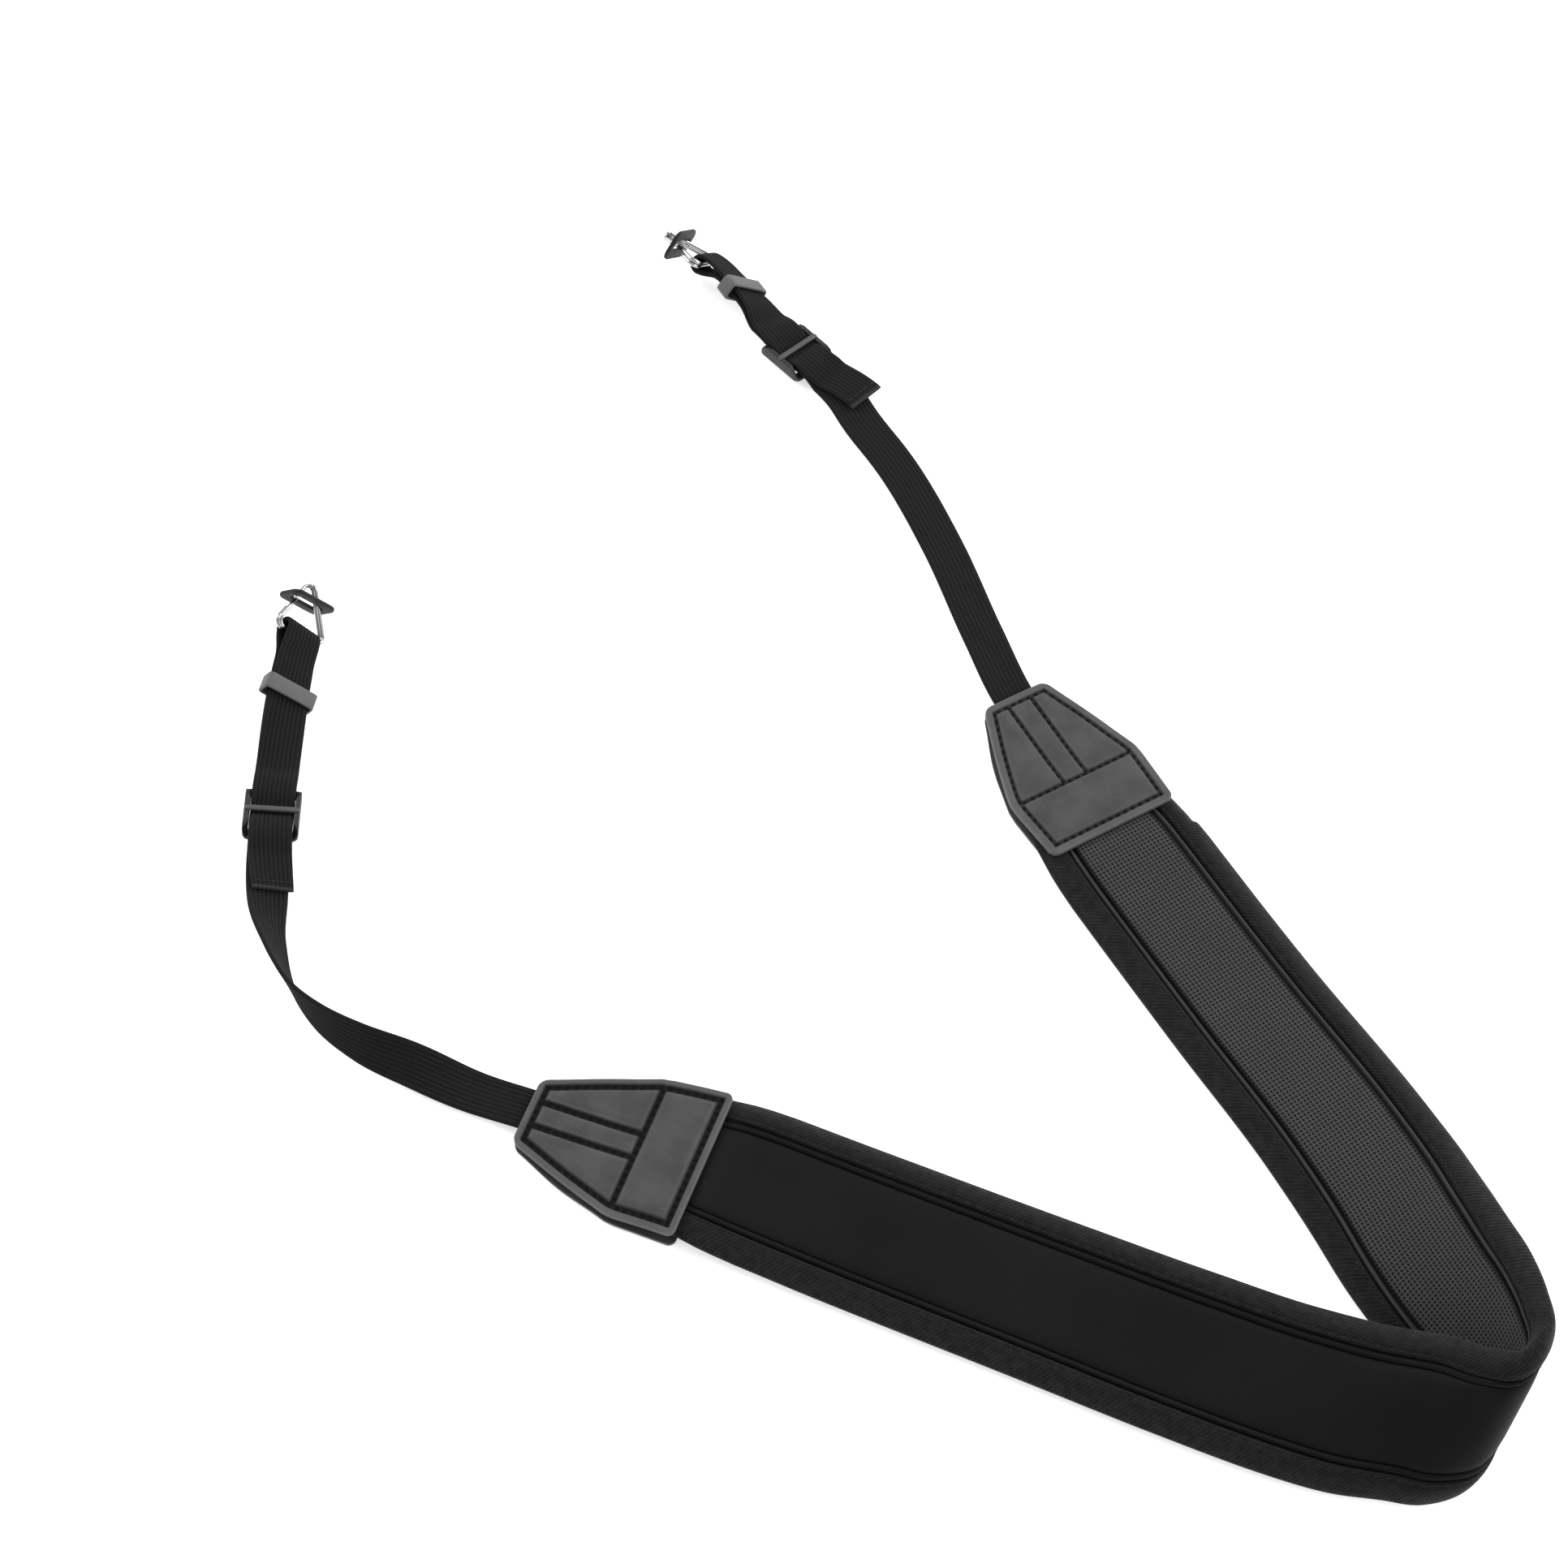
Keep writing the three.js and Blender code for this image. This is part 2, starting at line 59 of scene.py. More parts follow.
# The band's low edge on the floor: x, y, the roll that lifts its high edge, the direction
# of the high edge (both in degrees), and the lift of the whole band
BAND = np.array((
    (-24.9, -118.2, 0, 114, 0),
    (17.2, -99.4, 0, 114, 1.0),
    (52.6, -85.6, 3, 113, 0.2),
    (98.4, -67.6, 6, 113, 0),
    (129.8, -55.4, 10, 113, 0),
    (152.6, -45.8, 14, 111, 0),
    (166.5, -38.6, 22, 108, 0),
    (176.6, -31, 34, 106, 0),
    (183.6, -25.4, 45, 106, 0),
    (187.4, -17.8, 56, 104, 0),
    (186.5, -10, 62, 99, 0),
    (183.4, -4.8, 62, 95, 0),
    (176.6, -2.4, 57, 92, 0),
    (167, -1.6, 47, 89, 0),
    (153.9, -0.8, 34, 85, 0),
    (138, 2.7, 22, 79, 0),
    (122, 8.1, 12, 76, 0),
    (103, 14, 6, 75, 0),
    (63.9, 23.5, 1, 75, 0),
    (24, 33.5, 0, 75, 0.2),
    (7, 37.6, 0, 74.5, 1.0),
    (-38, 50.4, 0, 74, 0),
))
PAD_HALF_THICKNESS = 2.5

# Each tape's route from its ring to its tab: x, y, z and roll in degrees
ROUTES = {
    "left": np.array((
        (-174.1, -48.9, 8, -50),
        (-169.5, -54.4, 7, -44),
        (-163.9, -61.6, 5.8, -34),
        (-151, -76.6, 2.9, -9),
        (-135.3, -93.1, 2.7, -8),
        (-123.4, -103.8, 3.9, -26),
        (-113.1, -111.5, 5.4, -55),
        (-103.8, -116.4, 6, -72),
        (-95.5, -119, 6.1, -84),
        (-86.2, -119.3, 5.9, -100),
        (-74.8, -117, 5.5, -120),
        (-61.2, -111.5, 4.1, -150),
        (-47.2, -105.8, 2, -174),
    )),
    "right": np.array((
        (-189.5, 113.6, 7.2, -42),
        (-184, 114.9, 6.8, -42),
        (-176, 114.2, 6.3, -41),
        (-171, 113.7, 5.5, -36),
        (-165, 112.5, 3.9, -18),
        (-160, 111.8, 3, -8),
        (-152, 111.4, 2.6, -6.5),
        (-144, 111.5, 2.3, -5),
        (-133, 110.4, 2, -2),
        (-125.7, 108.2, 1.7, 0),
        (-103, 102, 1.5, 0),
        (-79, 92.5, 1.5, 0),
        (-52, 79.2, 2, 0),
    )),
}

# Places on those routes, by distance from the ring
RING_AT = {"left": 0.0, "right": 0.0}
KEEPER_AT = {"left": 16.8, "right": 13.2}
SLIDE_AT = {"left": 51.5, "right": 37.8}

# The tail's length beyond the slide, where it comes free of it, and its drift across
TAIL_LENGTH = 23.6
TAIL_FREE = 9.0
TAIL_DRIFT = {"left": 1.0, "right": 4.5}

# The step between the tape's layers, its distance from the ring's bar, and its end in the tab
LAYER_STEP = 1.5
BAR_TO_TAPE = 2.2
TAPE_INSIDE_TAB = 20.0

# The tape's rise over a slide's end bars and fall under its middle bar: distance, lift
WAVE = np.array((
    (-12.6, 0), (-8, 1.6), (-4.9, 1.6), (0, -0.1), (4.9, 1.6), (8, 1.6), (12.6, 0),
))

# A tab from its narrow end: distance, half width, half of the gap between its two patches
TAB = np.array((
    (0, 9, 0.95),
    (15, 14.1, 0.95),
    (22, 16.5, 1.0),
    (28.5, 18.7, 1.3),
    (31.5, 19, 1.4),
    (39, 19, 1.8),
    (47, 19, 2.05),
))
TAB_LENGTH = 47.0
PAD_INSIDE_TAB = 15.0

# How each tab differs from that: distance, factor of its width and shift across, and below, the
# factor of its length
TAB_FIT = {
    "left": np.array(((0, 1, -1.3), (30, 1.03, -1.5), (47, 1.065, -0.7))),
    "right": np.array(((0, 1, -0.3), (26, 1, -0.1), (47, 0.94, 0.35))),
}
TAB_STRETCH = {"left": 0.972, "right": 1.01}

# From the pad's middle line: the binding's free edge, and the seams on the outer face and lining
BINDING_EDGE = 13.7
SEAM = 11.8
LINING_SEAM = 12.0

# The photograph's view
TARGET = Vector((-0.04989, 0.01089, 0.00005))
TO_CAMERA = Vector((0.385118, -0.385118, 0.838671))
FIELD_OF_VIEW = 22.52


def grey(level):
    """The linear value of a grey from 0 to 255."""
    return ((level / 255 + 0.055) / 1.055) ** 2.4


def length_of(name, description, millimetres):
    return FloatProperty(
        name=name, description=description, default=millimetres * MM, min=0, unit="LENGTH", precision=4
    )


def colour_of(name, description, level):
    return FloatVectorProperty(
        name=name, description=description, default=[grey(level)] * 3, min=0, max=1, subtype="COLOR"
    )


class StrapSizes(bpy.types.PropertyGroup):
    """Sizes that a user may change."""

    pad_width: length_of("Pad width", "Width of the padded band over its bindings", 41)
    pad_crown: length_of("Pad crown", "Half thickness of the pad along its middle", 2.6)
    binding_thickness: length_of("Binding thickness", "Half thickness of the bound edges", 2.4)
    leather_thickness: length_of("Leather thickness", "Thickness of each leather patch", 1.3)
    tape_width: length_of("Tape width", "Width of the woven tapes", 11)
    tape_thickness: length_of("Tape thickness", "Thickness of one layer of tape", 1.2)
    wire: length_of("Ring wire", "Diameter of the split rings' wire", 1.1)
    stitch: length_of("Stitch length", "Distance from one stitch to the next", 2.8)


class StrapColours(bpy.types.PropertyGroup):
    """Colours that a user may change."""

    neoprene: colour_of("Neoprene", "The pad's smooth outer face", 15)
    mesh: colour_of("Air mesh", "The pad's lining", 62)
    mesh_holes: colour_of("Mesh holes", "The bottom of the lining's holes", 20)
    binding: colour_of("Binding", "The knitted edge binding", 20)
    leather: colour_of("Leather", "The tabs' faces", 68)
    groove: colour_of("Grooves", "The sewn grooves in the leather", 3)
    tape: colour_of("Tape", "The woven tapes", 17)
    plastic: colour_of("Slides", "The moulded slides", 30)
    keeper: colour_of("Keepers", "The moulded keeper loops", 80)
    steel: colour_of("Rings", "The plated split rings", 176)
    guard: colour_of("Guards", "The ring guards", 20)
    thread: colour_of("Thread", "The sewing thread", 12)
    floor: colour_of("Floor", "The floor", 246)


# Curves and paths

def unit(vectors):
    return vectors / np.linalg.norm(vectors, axis=-1, keepdims=True)


def travelled(points):
    """The distance from the first point to each of the others, along the line through them."""
    return np.append(0, np.cumsum(np.linalg.norm(np.diff(points, axis=0), axis=1)))


def curve(knots, rows, at):
    """Cubic pieces through rows of numbers. Each row's slope is the mean of the slopes on its two
    sides, weighted by the length on the other side."""
    step = np.diff(knots)[:, None]
    slope = np.diff(rows, axis=0) / step
    inner = (slope[:-1] * step[1:] + slope[1:] * step[:-1]) / (step[:-1] + step[1:])
    slopes = np.vstack([slope[:1], inner, slope[-1:]])
    piece = np.clip(np.searchsorted(knots, at) - 1, 0, len(step) - 1)
    span = step[piece]
    t = np.clip((np.asarray(at) - knots[piece])[:, None] / span, 0, 1)
    rise = t * t * (3 - 2 * t)
    lead = t * (1 - t) ** 2 * span
    trail = t * t * (t - 1) * span
    start, end = rows[piece], rows[piece + 1]
    return start + (end - start) * rise + lead * slopes[piece] + trail * slopes[piece + 1]


def ease(value, low, high):
    """0 below low, 1 above high, and a smooth rise between."""
    t = np.clip((value - low) / (high - low), 0, 1)
    return t * t * (3 - 2 * t)


def read_table(table, at):
    """A table's columns after its first, read at distances given in the first, one upright array
    each."""
    return (np.interp(at, table[:, 0], column)[:, None] for column in table.T[1:])


class Frames:
    """Points of a path, each with the way along, the way across and the way out of the face."""

    def __init__(self, centre, along, across):
        self.centre = centre
        self.along = along
        self.across = across
        self.out = unit(np.cross(along, across))

    def at(self, across, out, along=0.0):
        """The points that lie so far across, out and along from each frame."""
        offsets = np.stack(np.broadcast_arrays(across, out, along), -1)
        return self.centre[:, None] + offsets @ np.stack([self.across, self.out, self.along], 1)


class Ribbon:
    """A path with a direction across it at every point, measured by its own length. The way along
    is taken between points a short reach before and after."""

    count = 601
    reach = 0.5

    def __init__(self, centres, sides):
        self.knots = travelled(centres)
        self.rows = np.hstack([centres, sides])
        self.marks = np.linspace(0, self.knots[-1], self.count)
        self.lengths = travelled(self.read(self.marks)[:, :3])
        self.length = self.lengths[-1]

    def read(self, at):
        return curve(self.knots, self.rows, at)

    def frames(self, distances):
        at = np.interp(distances, self.lengths, self.marks)
        rows = self.read(at)
        before = self.read(np.maximum(at - self.reach, 0))[:, :3]
        after = self.read(np.minimum(at + self.reach, self.knots[-1]))[:, :3]
        return Frames(rows[:, :3], unit(after - before), unit(rows[:, 3:]))


def band_path(width):
    """The band's middle line: half its width from the low edge, in the direction of the high one."""
    x, y, roll, side, lift = BAND.T
    roll, side = np.radians(roll), np.radians(side)
    sides = np.stack([np.cos(roll) * np.cos(side), np.cos(roll) * np.sin(side), np.sin(roll)], 1)
    edge = np.stack([x, y, PAD_HALF_THICKNESS * np.cos(roll) + lift], 1)
    return Ribbon(edge + sides * width / 2, sides)


def tape_path(side, band):
    """A tape's route, whose last rows are on the band's middle line, inside the tab."""
    centres, roll = ROUTES[side][:, :3], np.radians(ROUTES[side][:, 3:])
    inside = np.array((1, TAPE_INSIDE_TAB / 2, TAPE_INSIDE_TAB))
    tab = band.frames(inside if side == "left" else band.length - inside)
    along = unit(np.gradient(centres, axis=0) * (1, 1, 0))
    up = np.array((0, 0, 1))
    left = np.cross(up, along) * np.cos(roll) + up * np.sin(roll)
    facing = -1 if side == "left" else 1
    return Ribbon(np.vstack([centres, tab.centre]), np.vstack([left, tab.across * facing]))


# Surfaces

# A shape's points and faces, its UV map in metres, and the numbers that its points hold
Shape = namedtuple("Shape", "points faces uv marks")


def skin(points, ring=False, **marks):
    """A surface over a grid of points: rows are stations along a path, and columns go once round
    the section. A ring's last station joins its first, and otherwise caps close both ends."""
    rows, columns = points.shape[:2]
    i = np.arange(rows if ring else rows - 1)[:, None]
    j = np.arange(columns)[None]
    i_next, j_next = (i + 1) % rows, (j + 1) % columns
    corners = [
        (i, j, i, j), (i, j_next, i, j + 1), (i_next, j_next, i + 1, j + 1), (i_next, j, i + 1, j),
    ]
    faces = np.stack([a * columns + b for a, b, _, _ in corners], -1).reshape(-1, 4)
    middle = points.mean(1)
    along = travelled(np.vstack([middle, middle[:1]])) if ring else travelled(middle)
    section = points[rows // 2]
    around = travelled(np.vstack([section, section[:1]]))
    uv = np.stack([
        np.stack(np.broadcast_arrays(along[a], around[b]), -1) for _, _, a, b in corners
    ], -2).reshape(-1, 2)
    faces = faces.tolist()
    if not ring:
        order = np.arange(columns)
        faces += [order[::-1].tolist(), (order + (rows - 1) * columns).tolist()]
        ends = [np.stack([np.full(columns, along[k]), around[:columns]], 1) for k in (0, -1)]
        uv = np.vstack([uv, ends[0][::-1], ends[1]])
    marks = {name: np.broadcast_to(value, (rows, columns)).ravel() for name, value in marks.items()}
    return Shape(points.reshape(-1, 3), faces, uv * MM, marks)


def joined(shapes):
    """Several shapes as one."""
    start = 0
    faces = []
    for shape in shapes:
        faces += [[start + k for k in face] for face in shape.faces]
        start += len(shape.points)
    points, _, uv, marks = zip(*shapes)
    marks = {name: np.concatenate([values[name] for values in marks]) for name in marks[0]}
    return Shape(np.vstack(points), faces, np.vstack(uv), marks)


def add_object(name, data):
    """Puts an object with that data into the scene."""
    made = bpy.data.objects.new(name, data)
    bpy.context.scene.collection.objects.link(made)
    return made


def make_piece(name, shape, finish, stands_for=(), sharp=45):
    """Puts a shape into the scene as one piece that rides on the strap. The finish is a name."""
    mesh = bpy.data.meshes.new(name)
    mesh.from_pydata((shape.points + ORIGIN) * MM, [], shape.faces)
    mesh.uv_layers.new(name="surface").uv.foreach_set("vector", shape.uv.astype(np.float32).ravel())
    for mark, values in shape.marks.items():
        mesh.attributes.new(mark, "FLOAT", "POINT").data.foreach_set("value", values.astype(np.float32))
    mesh.shade_smooth()
    mesh.set_sharp_from_angle(angle=radians(sharp))
    mesh.materials.append(finish_of(finish))
    piece = add_object(name, mesh)
    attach(piece, "root")
    if stands_for:
        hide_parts(*stands_for)
    return piece


def rounded_outline(width, height, radius, side_points=9, corner_points=7):
    """A closed outline of a rectangle with round corners, anticlockwise from the lower right:
    the corner arcs with evenly spaced points on the sides between them."""
    angles = np.linspace(0, pi / 2, corner_points)
    arcs = []
    for k, (x, y) in enumerate(((1, -1), (1, 1), (-1, 1), (-1, -1))):
        centre = np.array((x * (width / 2 - radius), y * (height / 2 - radius)))
        turn = angles + (k - 1) * pi / 2
        arcs.append(centre + radius * np.stack([np.cos(turn), np.sin(turn)], 1))
    between = np.linspace(0, 1, side_points + 2)[1:-1, None]
    rows = []
    for k in range(4):
        start, end = arcs[k][-1], arcs[(k + 1) % 4][0]
        rows += [arcs[k], start + (end - start) * between]
    return np.vstack(rows)


def pierced(outer, inner, low, high, radius):
    """A block with a hole: a rectangle with round corners, carried round between an outer and an
    inner outline that have as many points. Its third coordinate goes from low to high."""
    arc = 5
    turn = np.linspace(0, pi / 2, arc)
    across = np.repeat((1, -1, -1, 1), arc)
    up = np.repeat((1, 1, -1, -1), arc)
    angle = np.concatenate([turn + k * pi / 2 for k in range(4)])
    width = np.linalg.norm(outer - inner, axis=1)[:, None]
    outward = (outer - inner) / width
    low, high = (np.broadcast_to(v, (len(outer),))[:, None] for v in (low, high))
    round_by = np.minimum(radius, np.minimum(width, high - low) / 2.02)
    a = across * (width / 2 - round_by) + round_by * np.cos(angle)
    z = (high + low) / 2 + up * ((high - low) / 2 - round_by) + round_by * np.sin(angle)
    middle = ((outer + inner) / 2)[:, None]
    flat = middle + a[..., None] * outward[:, None]
    return np.concatenate([flat, z[..., None]], -1)[:, ::-1]


def turned(points, degrees):
    """Points turned about the second axis, from the first towards the opposite of the third."""
    x, y, z = np.moveaxis(points, -1, 0)
    c, s = np.cos(radians(degrees)), np.sin(radians(degrees))
    return np.stack([x * c + z * s, y, z * c - x * s], -1)


def placed(points, path, distance):
    """Points modelled along, across and out, put on a path at one distance."""
    f = path.frames(np.array([distance]))
    axes = np.stack([f.along[0], np.cross(f.out[0], f.along[0]), f.out[0]])
    return f.centre[0] + points @ axes


def stitches(frames, across, out, half, thickness):
    """One lens of thread at each frame: six-sided, thickest in the middle and flat on the cloth."""
    share = np.array((-1, -0.8, -0.35, 0.35, 0.8, 1))
    girth = np.array((0.25, 0.7, 1, 1, 0.7, 0.25))
    sides = 6
    turn = np.arange(sides) * tau / sides
    count = len(frames.centre)
    across, out = (np.broadcast_to(v, count)[:, None, None] for v in (across, out))
    sideways = across + girth[:, None] * np.cos(turn) * thickness / 2
    upward = out + girth[:, None] * np.sin(turn) * thickness / 2.6
    along = np.broadcast_to(share[:, None] * half, sideways.shape)
    points = frames.at(*(v.reshape(count, -1) for v in (sideways, upward, along)))
    return [skin(block) for block in points.reshape(count, len(share), sides, 3)]


# Finishes

class Wire:
    """A socket of a finish. Arithmetic on it adds Math nodes."""

    def __init__(self, finish, socket):
        self.finish = finish
        self.socket = socket

    def math(self, operation, *values):
        return self.finish.node("ShaderNodeMath", {"operation": operation}, dict(enumerate(values)))

    def __add__(self, other):
        return self.math("ADD", self, other)

    def __sub__(self, other):
        return self.math("SUBTRACT", self, other)

    def __rsub__(self, other):
        return self.math("SUBTRACT", other, self)

    def __mul__(self, other):
        return self.math("MULTIPLY", self, other)

    __radd__ = __add__

    def wave(self, pitch):
        """A sine wave of that pitch in millimetres, between -1 and 1."""
        return self.math("SINE", self * (tau / (pitch * MM)))

    def step(self, low, high):
        """0 below low, 1 above high, and a smooth rise between."""
        return self.finish.node(
            "ShaderNodeMapRange", {"interpolation_type": "SMOOTHSTEP"},
            {"Value": self, "From Min": low, "From Max": high},
        )


class Finish:
    """A material made of nodes round one shader."""

    def __init__(self, **constants):
        self.material = bpy.data.materials.new("strap_finish")
        self.material.use_nodes = True
        self.tree = self.material.node_tree
        self.shader = self.tree.nodes["Principled BSDF"]
        self.put(**constants)

    def node(self, kind, settings=None, inputs=None, output=0):
        """Adds a node. Its settings are set first, then its sockets' values or links."""
        made = self.tree.nodes.new(kind)
        for name, value in (settings or {}).items():
            setattr(made, name, value)
        for key, value in (inputs or {}).items():
            self.feed(made.inputs[key], value)
        return Wire(self, made.outputs[output])

    def feed(self, socket, value):
        if isinstance(value, Wire):
            self.tree.links.new(value.socket, socket)
        else:
            socket.default_value = value

    def put(self, **values):
        """Values or links for the shader's sockets, named with _ for a space."""
        for name, value in values.items():
            self.feed(self.shader.inputs[name.replace("_", " ")], value)

    def surface(self):
        """Along and around the piece, in metres."""
        uv = self.node("ShaderNodeUVMap", {"uv_map": "surface"})
        split = self.node("ShaderNodeSeparateXYZ", None, {0: uv})
        return split, Wire(self, split.socket.node.outputs[1])

    def mark(self, name):
        return self.node("ShaderNodeAttribute", {"attribute_name": name}, output="Fac")

    def noise(self, grain, detail=2.0, roughness=0.5):
        """Noise between 0 and 1, with a grain of that size in millimetres."""
        place = self.node("ShaderNodeTexCoord", output="Object")
        return self.node("ShaderNodeTexNoise", None, {
            "Vector": place, "Scale": 1 / (grain * MM), "Detail": detail, "Roughness": roughness,
        })

    def blend(self, share, start, end):
        """From one colour to another."""
        ends = [v if isinstance(v, Wire) else (*v[:3], 1) for v in (start, end)]
        return self.node("ShaderNodeMix", {"data_type": "RGBA"}, {0: share, 6: ends[0], 7: ends[1]}, 2)

    def shades(self, share, colour, dark, light):
        """From one multiple of a colour to another."""
        return self.blend(share, times(colour, dark), times(colour, light))

    def done(self, colour, roughness, height, depth, strength=1.0):
        """The material, with bump from a height between 0 and 1 that stands for a depth in
        millimetres."""
        bump = {"Height": height, "Distance": depth * MM, "Strength": strength}
        normal = self.node("ShaderNodeBump", None, bump)
        self.put(Base_Color=colour, Roughness=roughness, Normal=normal)
        return self.material


def times(colour, factor):
    return tuple(v * factor for v in colour)


def neoprene_finish(colours):
    """Smooth rubbery cloth: fine grain, faint broad clouds, and dark along its sewn grooves."""
    f = Finish(Specular_IOR_Level=0.09)
    cloud = f.noise(34, 3)
    grain = f.noise(0.45, 3, 0.6)
    share = (cloud * 0.6 + grain * 0.4).step(0.35, 0.65)
    face = f.shades(share, colours.neoprene, 0.8, 1.3)
    face = f.blend(f.mark("seam"), face, times(colours.thread, 0.2))
    return f.done(face, 0.5 + grain * 0.16, grain, 0.05, 0.5)


def mesh_finish(colours):
    """Spacer mesh: knitted cords round rows of dark holes, each row shifted by half a pitch. The
    piping along its edges is plain, between dark seams."""
    f = Finish(Specular_IOR_Level=0.08, Sheen_Weight=0.03, Sheen_Roughness=0.4)
    along, around = f.surface()
    net = along.wave(2.1) * around.wave(2.1)
    hole = net.math("ABSOLUTE", net).step(0.42, 0.8)
    yarn = f.noise(0.25, 2)
    cloud = f.noise(9, 2)
    tone = yarn.step(0.3, 0.7) * 0.6 + cloud * 0.4
    hole = hole * (1 - f.mark("piping"))
    face = f.blend(hole, f.shades(tone, colours.mesh, 0.78, 1.3), colours.mesh_holes)
    face = f.blend(f.mark("seam"), face, times(colours.thread, 0.15))
    return f.done(face, 0.74 + yarn * 0.2, (1 - hole) * 0.8 + yarn * 0.2, 0.35)


def binding_finish(colours):
    """Knitted binding: short slanting loops in rows along the tape, with painted shade over its inner
    part that leaves the rim lighter as if lit.
    """
    f = Finish(Specular_IOR_Level=0.12, Sheen_Weight=0.08, Sheen_Roughness=0.4)
    along, around = f.surface()
    slant = (along + around * 0.8).wave(1.15)
    rows = around.wave(0.9)
    knit = (slant * 0.75 + rows * 0.25).step(-0.7, 0.8)
    fuzz = f.noise(0.45, 3)
    patch = f.noise(1.8, 2).step(0.35, 0.65)
    face = f.shades(knit * 0.3 + fuzz * 0.35 + patch * 0.35, colours.binding, 0.3, 2.9)
    # The seam mark also carries the binding's painted shade, darker over its inner part than at its rim
    face = f.blend(f.mark("seam"), face, times(colours.thread, 0.2))
    return f.done(face, 0.62 + fuzz * 0.2, knit * 0.5 + fuzz * 0.25 + patch * 0.25, 0.16)


def leather_finish(colours):
    """Finished leather: pebbled grain, lighter along its edges, partly as wear and partly as painted
    highlight, and dark in its grooves.
    """
    f = Finish(Specular_IOR_Level=0.13)
    place = f.node("ShaderNodeTexCoord", output="Object")
    pebble = f.node("ShaderNodeTexVoronoi", {"feature": "SMOOTH_F1"}, {
        "Vector": place, "Scale": 1 / (0.55 * MM), "Smoothness": 0.6,
    })
    grain = f.noise(0.2, 3)
    cloud = f.noise(7, 3)
    groove, worn = f.mark("groove"), f.mark("worn")
    face = f.shades(cloud.step(0.3, 0.7), colours.leather, 0.85, 1.12)
    # Lighter by wear and by painted highlight on the rounded edge, the rim outside the groove and a
    # band beside each groove
    face = f.blend(worn * (0.5 + cloud * 0.5), face, times(colours.leather, 2.3))
    face = f.blend(groove, face, colours.groove)
    rough = 0.5 + grain * 0.15 + groove * 0.25
    return f.done(face, rough, (1 - pebble) * 0.7 + grain * 0.3, 0.09, 0.7)


def tape_finish(colours):
    """Woven tape: cords along it, crossed by fine threads, with painted highlight on the cord tops and
    selvedges, painted shade between the cords, and a lighter cut end.
    """
    f = Finish(Specular_IOR_Level=0.09, Sheen_Weight=0.03, Sheen_Roughness=0.4)
    along, around = f.surface()
    cross = (along + around * 0.5).wave(0.62)
    fuzz = f.noise(0.22, 3)
    cloud = f.noise(5, 2)
    # Painted highlight and shade: lighter on the cords' tops and selvedges, darker between the cords
    share = f.mark("rib") * 0.55 + cross * 0.14 + fuzz * 0.28 + cloud * 0.1
    face = f.shades(share, colours.tape, 0.12, 3)
    face = f.blend(f.mark("worn"), face, times(colours.tape, 16))
    return f.done(face, 0.72 + fuzz * 0.2, cross * 0.35 + 0.35 + fuzz * 0.3, 0.1)


def plastic_finish(colour, rough):
    """Moulded plastic: a fine spark-eroded texture, scuffed here and there, and lighter where marked: a
    little over the slides' frames, and fully along their middle bars as a painted highlight.
    """
    f = Finish(Specular_IOR_Level=0.3)
    grain = f.noise(0.16, 2)
    scuff = f.noise(2.2, 4, 0.7).step(0.5, 0.72)
    face = f.shades(scuff * 0.5 + grain * 0.2, colour, 1, 1.5)
    face = f.blend(f.mark("worn"), face, times(colour, 5))
    return f.done(face, rough + grain * 0.12 + scuff * 0.1, grain, 0.03, 0.6)


def steel_finish(colours):
    """Bright plating with hairline scratches along the wire and a few dull spots."""
    f = Finish(Metallic=1.0)
    hair = f.noise(0.4, 4, 0.7)
    dull = f.noise(3, 3).step(0.52, 0.7)
    face = f.shades(dull * 0.6, colours.steel, 1, 0.4)
    return f.done(face, 0.12 + hair * 0.1 + dull * 0.12, hair, 0.015, 0.4)


def thread_finish(colours):
    """Bonded thread: two plies twisted round each other."""
    f = Finish(Specular_IOR_Level=0.35)
    along, around = f.surface()
    twist = (along + around * 0.7).wave(0.5)
    ply = twist * 0.5 + 0.5
    return f.done(f.shades(ply, colours.thread, 0.6, 1.5), 0.6 + twist * 0.08, ply, 0.06)


def floor_finish(colours):
    """Pale matt paper, barely uneven, on a faintly glowing table that softens the shadows."""
    f = Finish(Roughness=0.9, Specular_IOR_Level=0.0, Emission_Strength=FLOOR_GLOW)
    tone = f.shades(f.noise(400, 2) * 0.05, colours.floor, 1, 0.97)
    f.put(Base_Color=tone, Emission_Color=(1, 1, 1, 1))
    return f.material


FINISHES = {
    "neoprene": neoprene_finish,
    "mesh": mesh_finish,
    "binding": binding_finish,
    "leather": leather_finish,
    "tape": tape_finish,
    "slide": lambda colours: plastic_finish(colours.plastic, 0.42),
    "keeper": lambda colours: plastic_finish(colours.keeper, 0.5),
    "guard": lambda colours: plastic_finish(colours.guard, 0.55),
    "steel": steel_finish,
    "thread": thread_finish,
    "floor": floor_finish,
}


def finish_of(name):
    """A finish by name, made once."""
    known = bpy.data.materials.get("strap_" + name)
    if known is None:
        known = FINISHES[name](bpy.context.scene.strap_colours)
        known.name = "strap_" + name
    return known


def sizes_and_band(context):
    """The user's sizes, and the band's path at its width."""
    sizes = context.scene.strap_sizes
    return sizes, band_path(sizes.pad_width / MM)


# Pad

# How much of its thickness and width the pad keeps: distance from the tape, thickness, width
PAD_TAPER = np.array((
    (TAB_LENGTH - PAD_INSIDE_TAB, 0.44, 0.86),
    (TAB_LENGTH - 2, 0.7, 0.94),
    (TAB_LENGTH + 1, 0.85, 0.958),
    (TAB_LENGTH + 4, 0.97, 0.976),
    (TAB_LENGTH + 8, 1, 0.99),
    (TAB_LENGTH + 14, 1, 1),
))


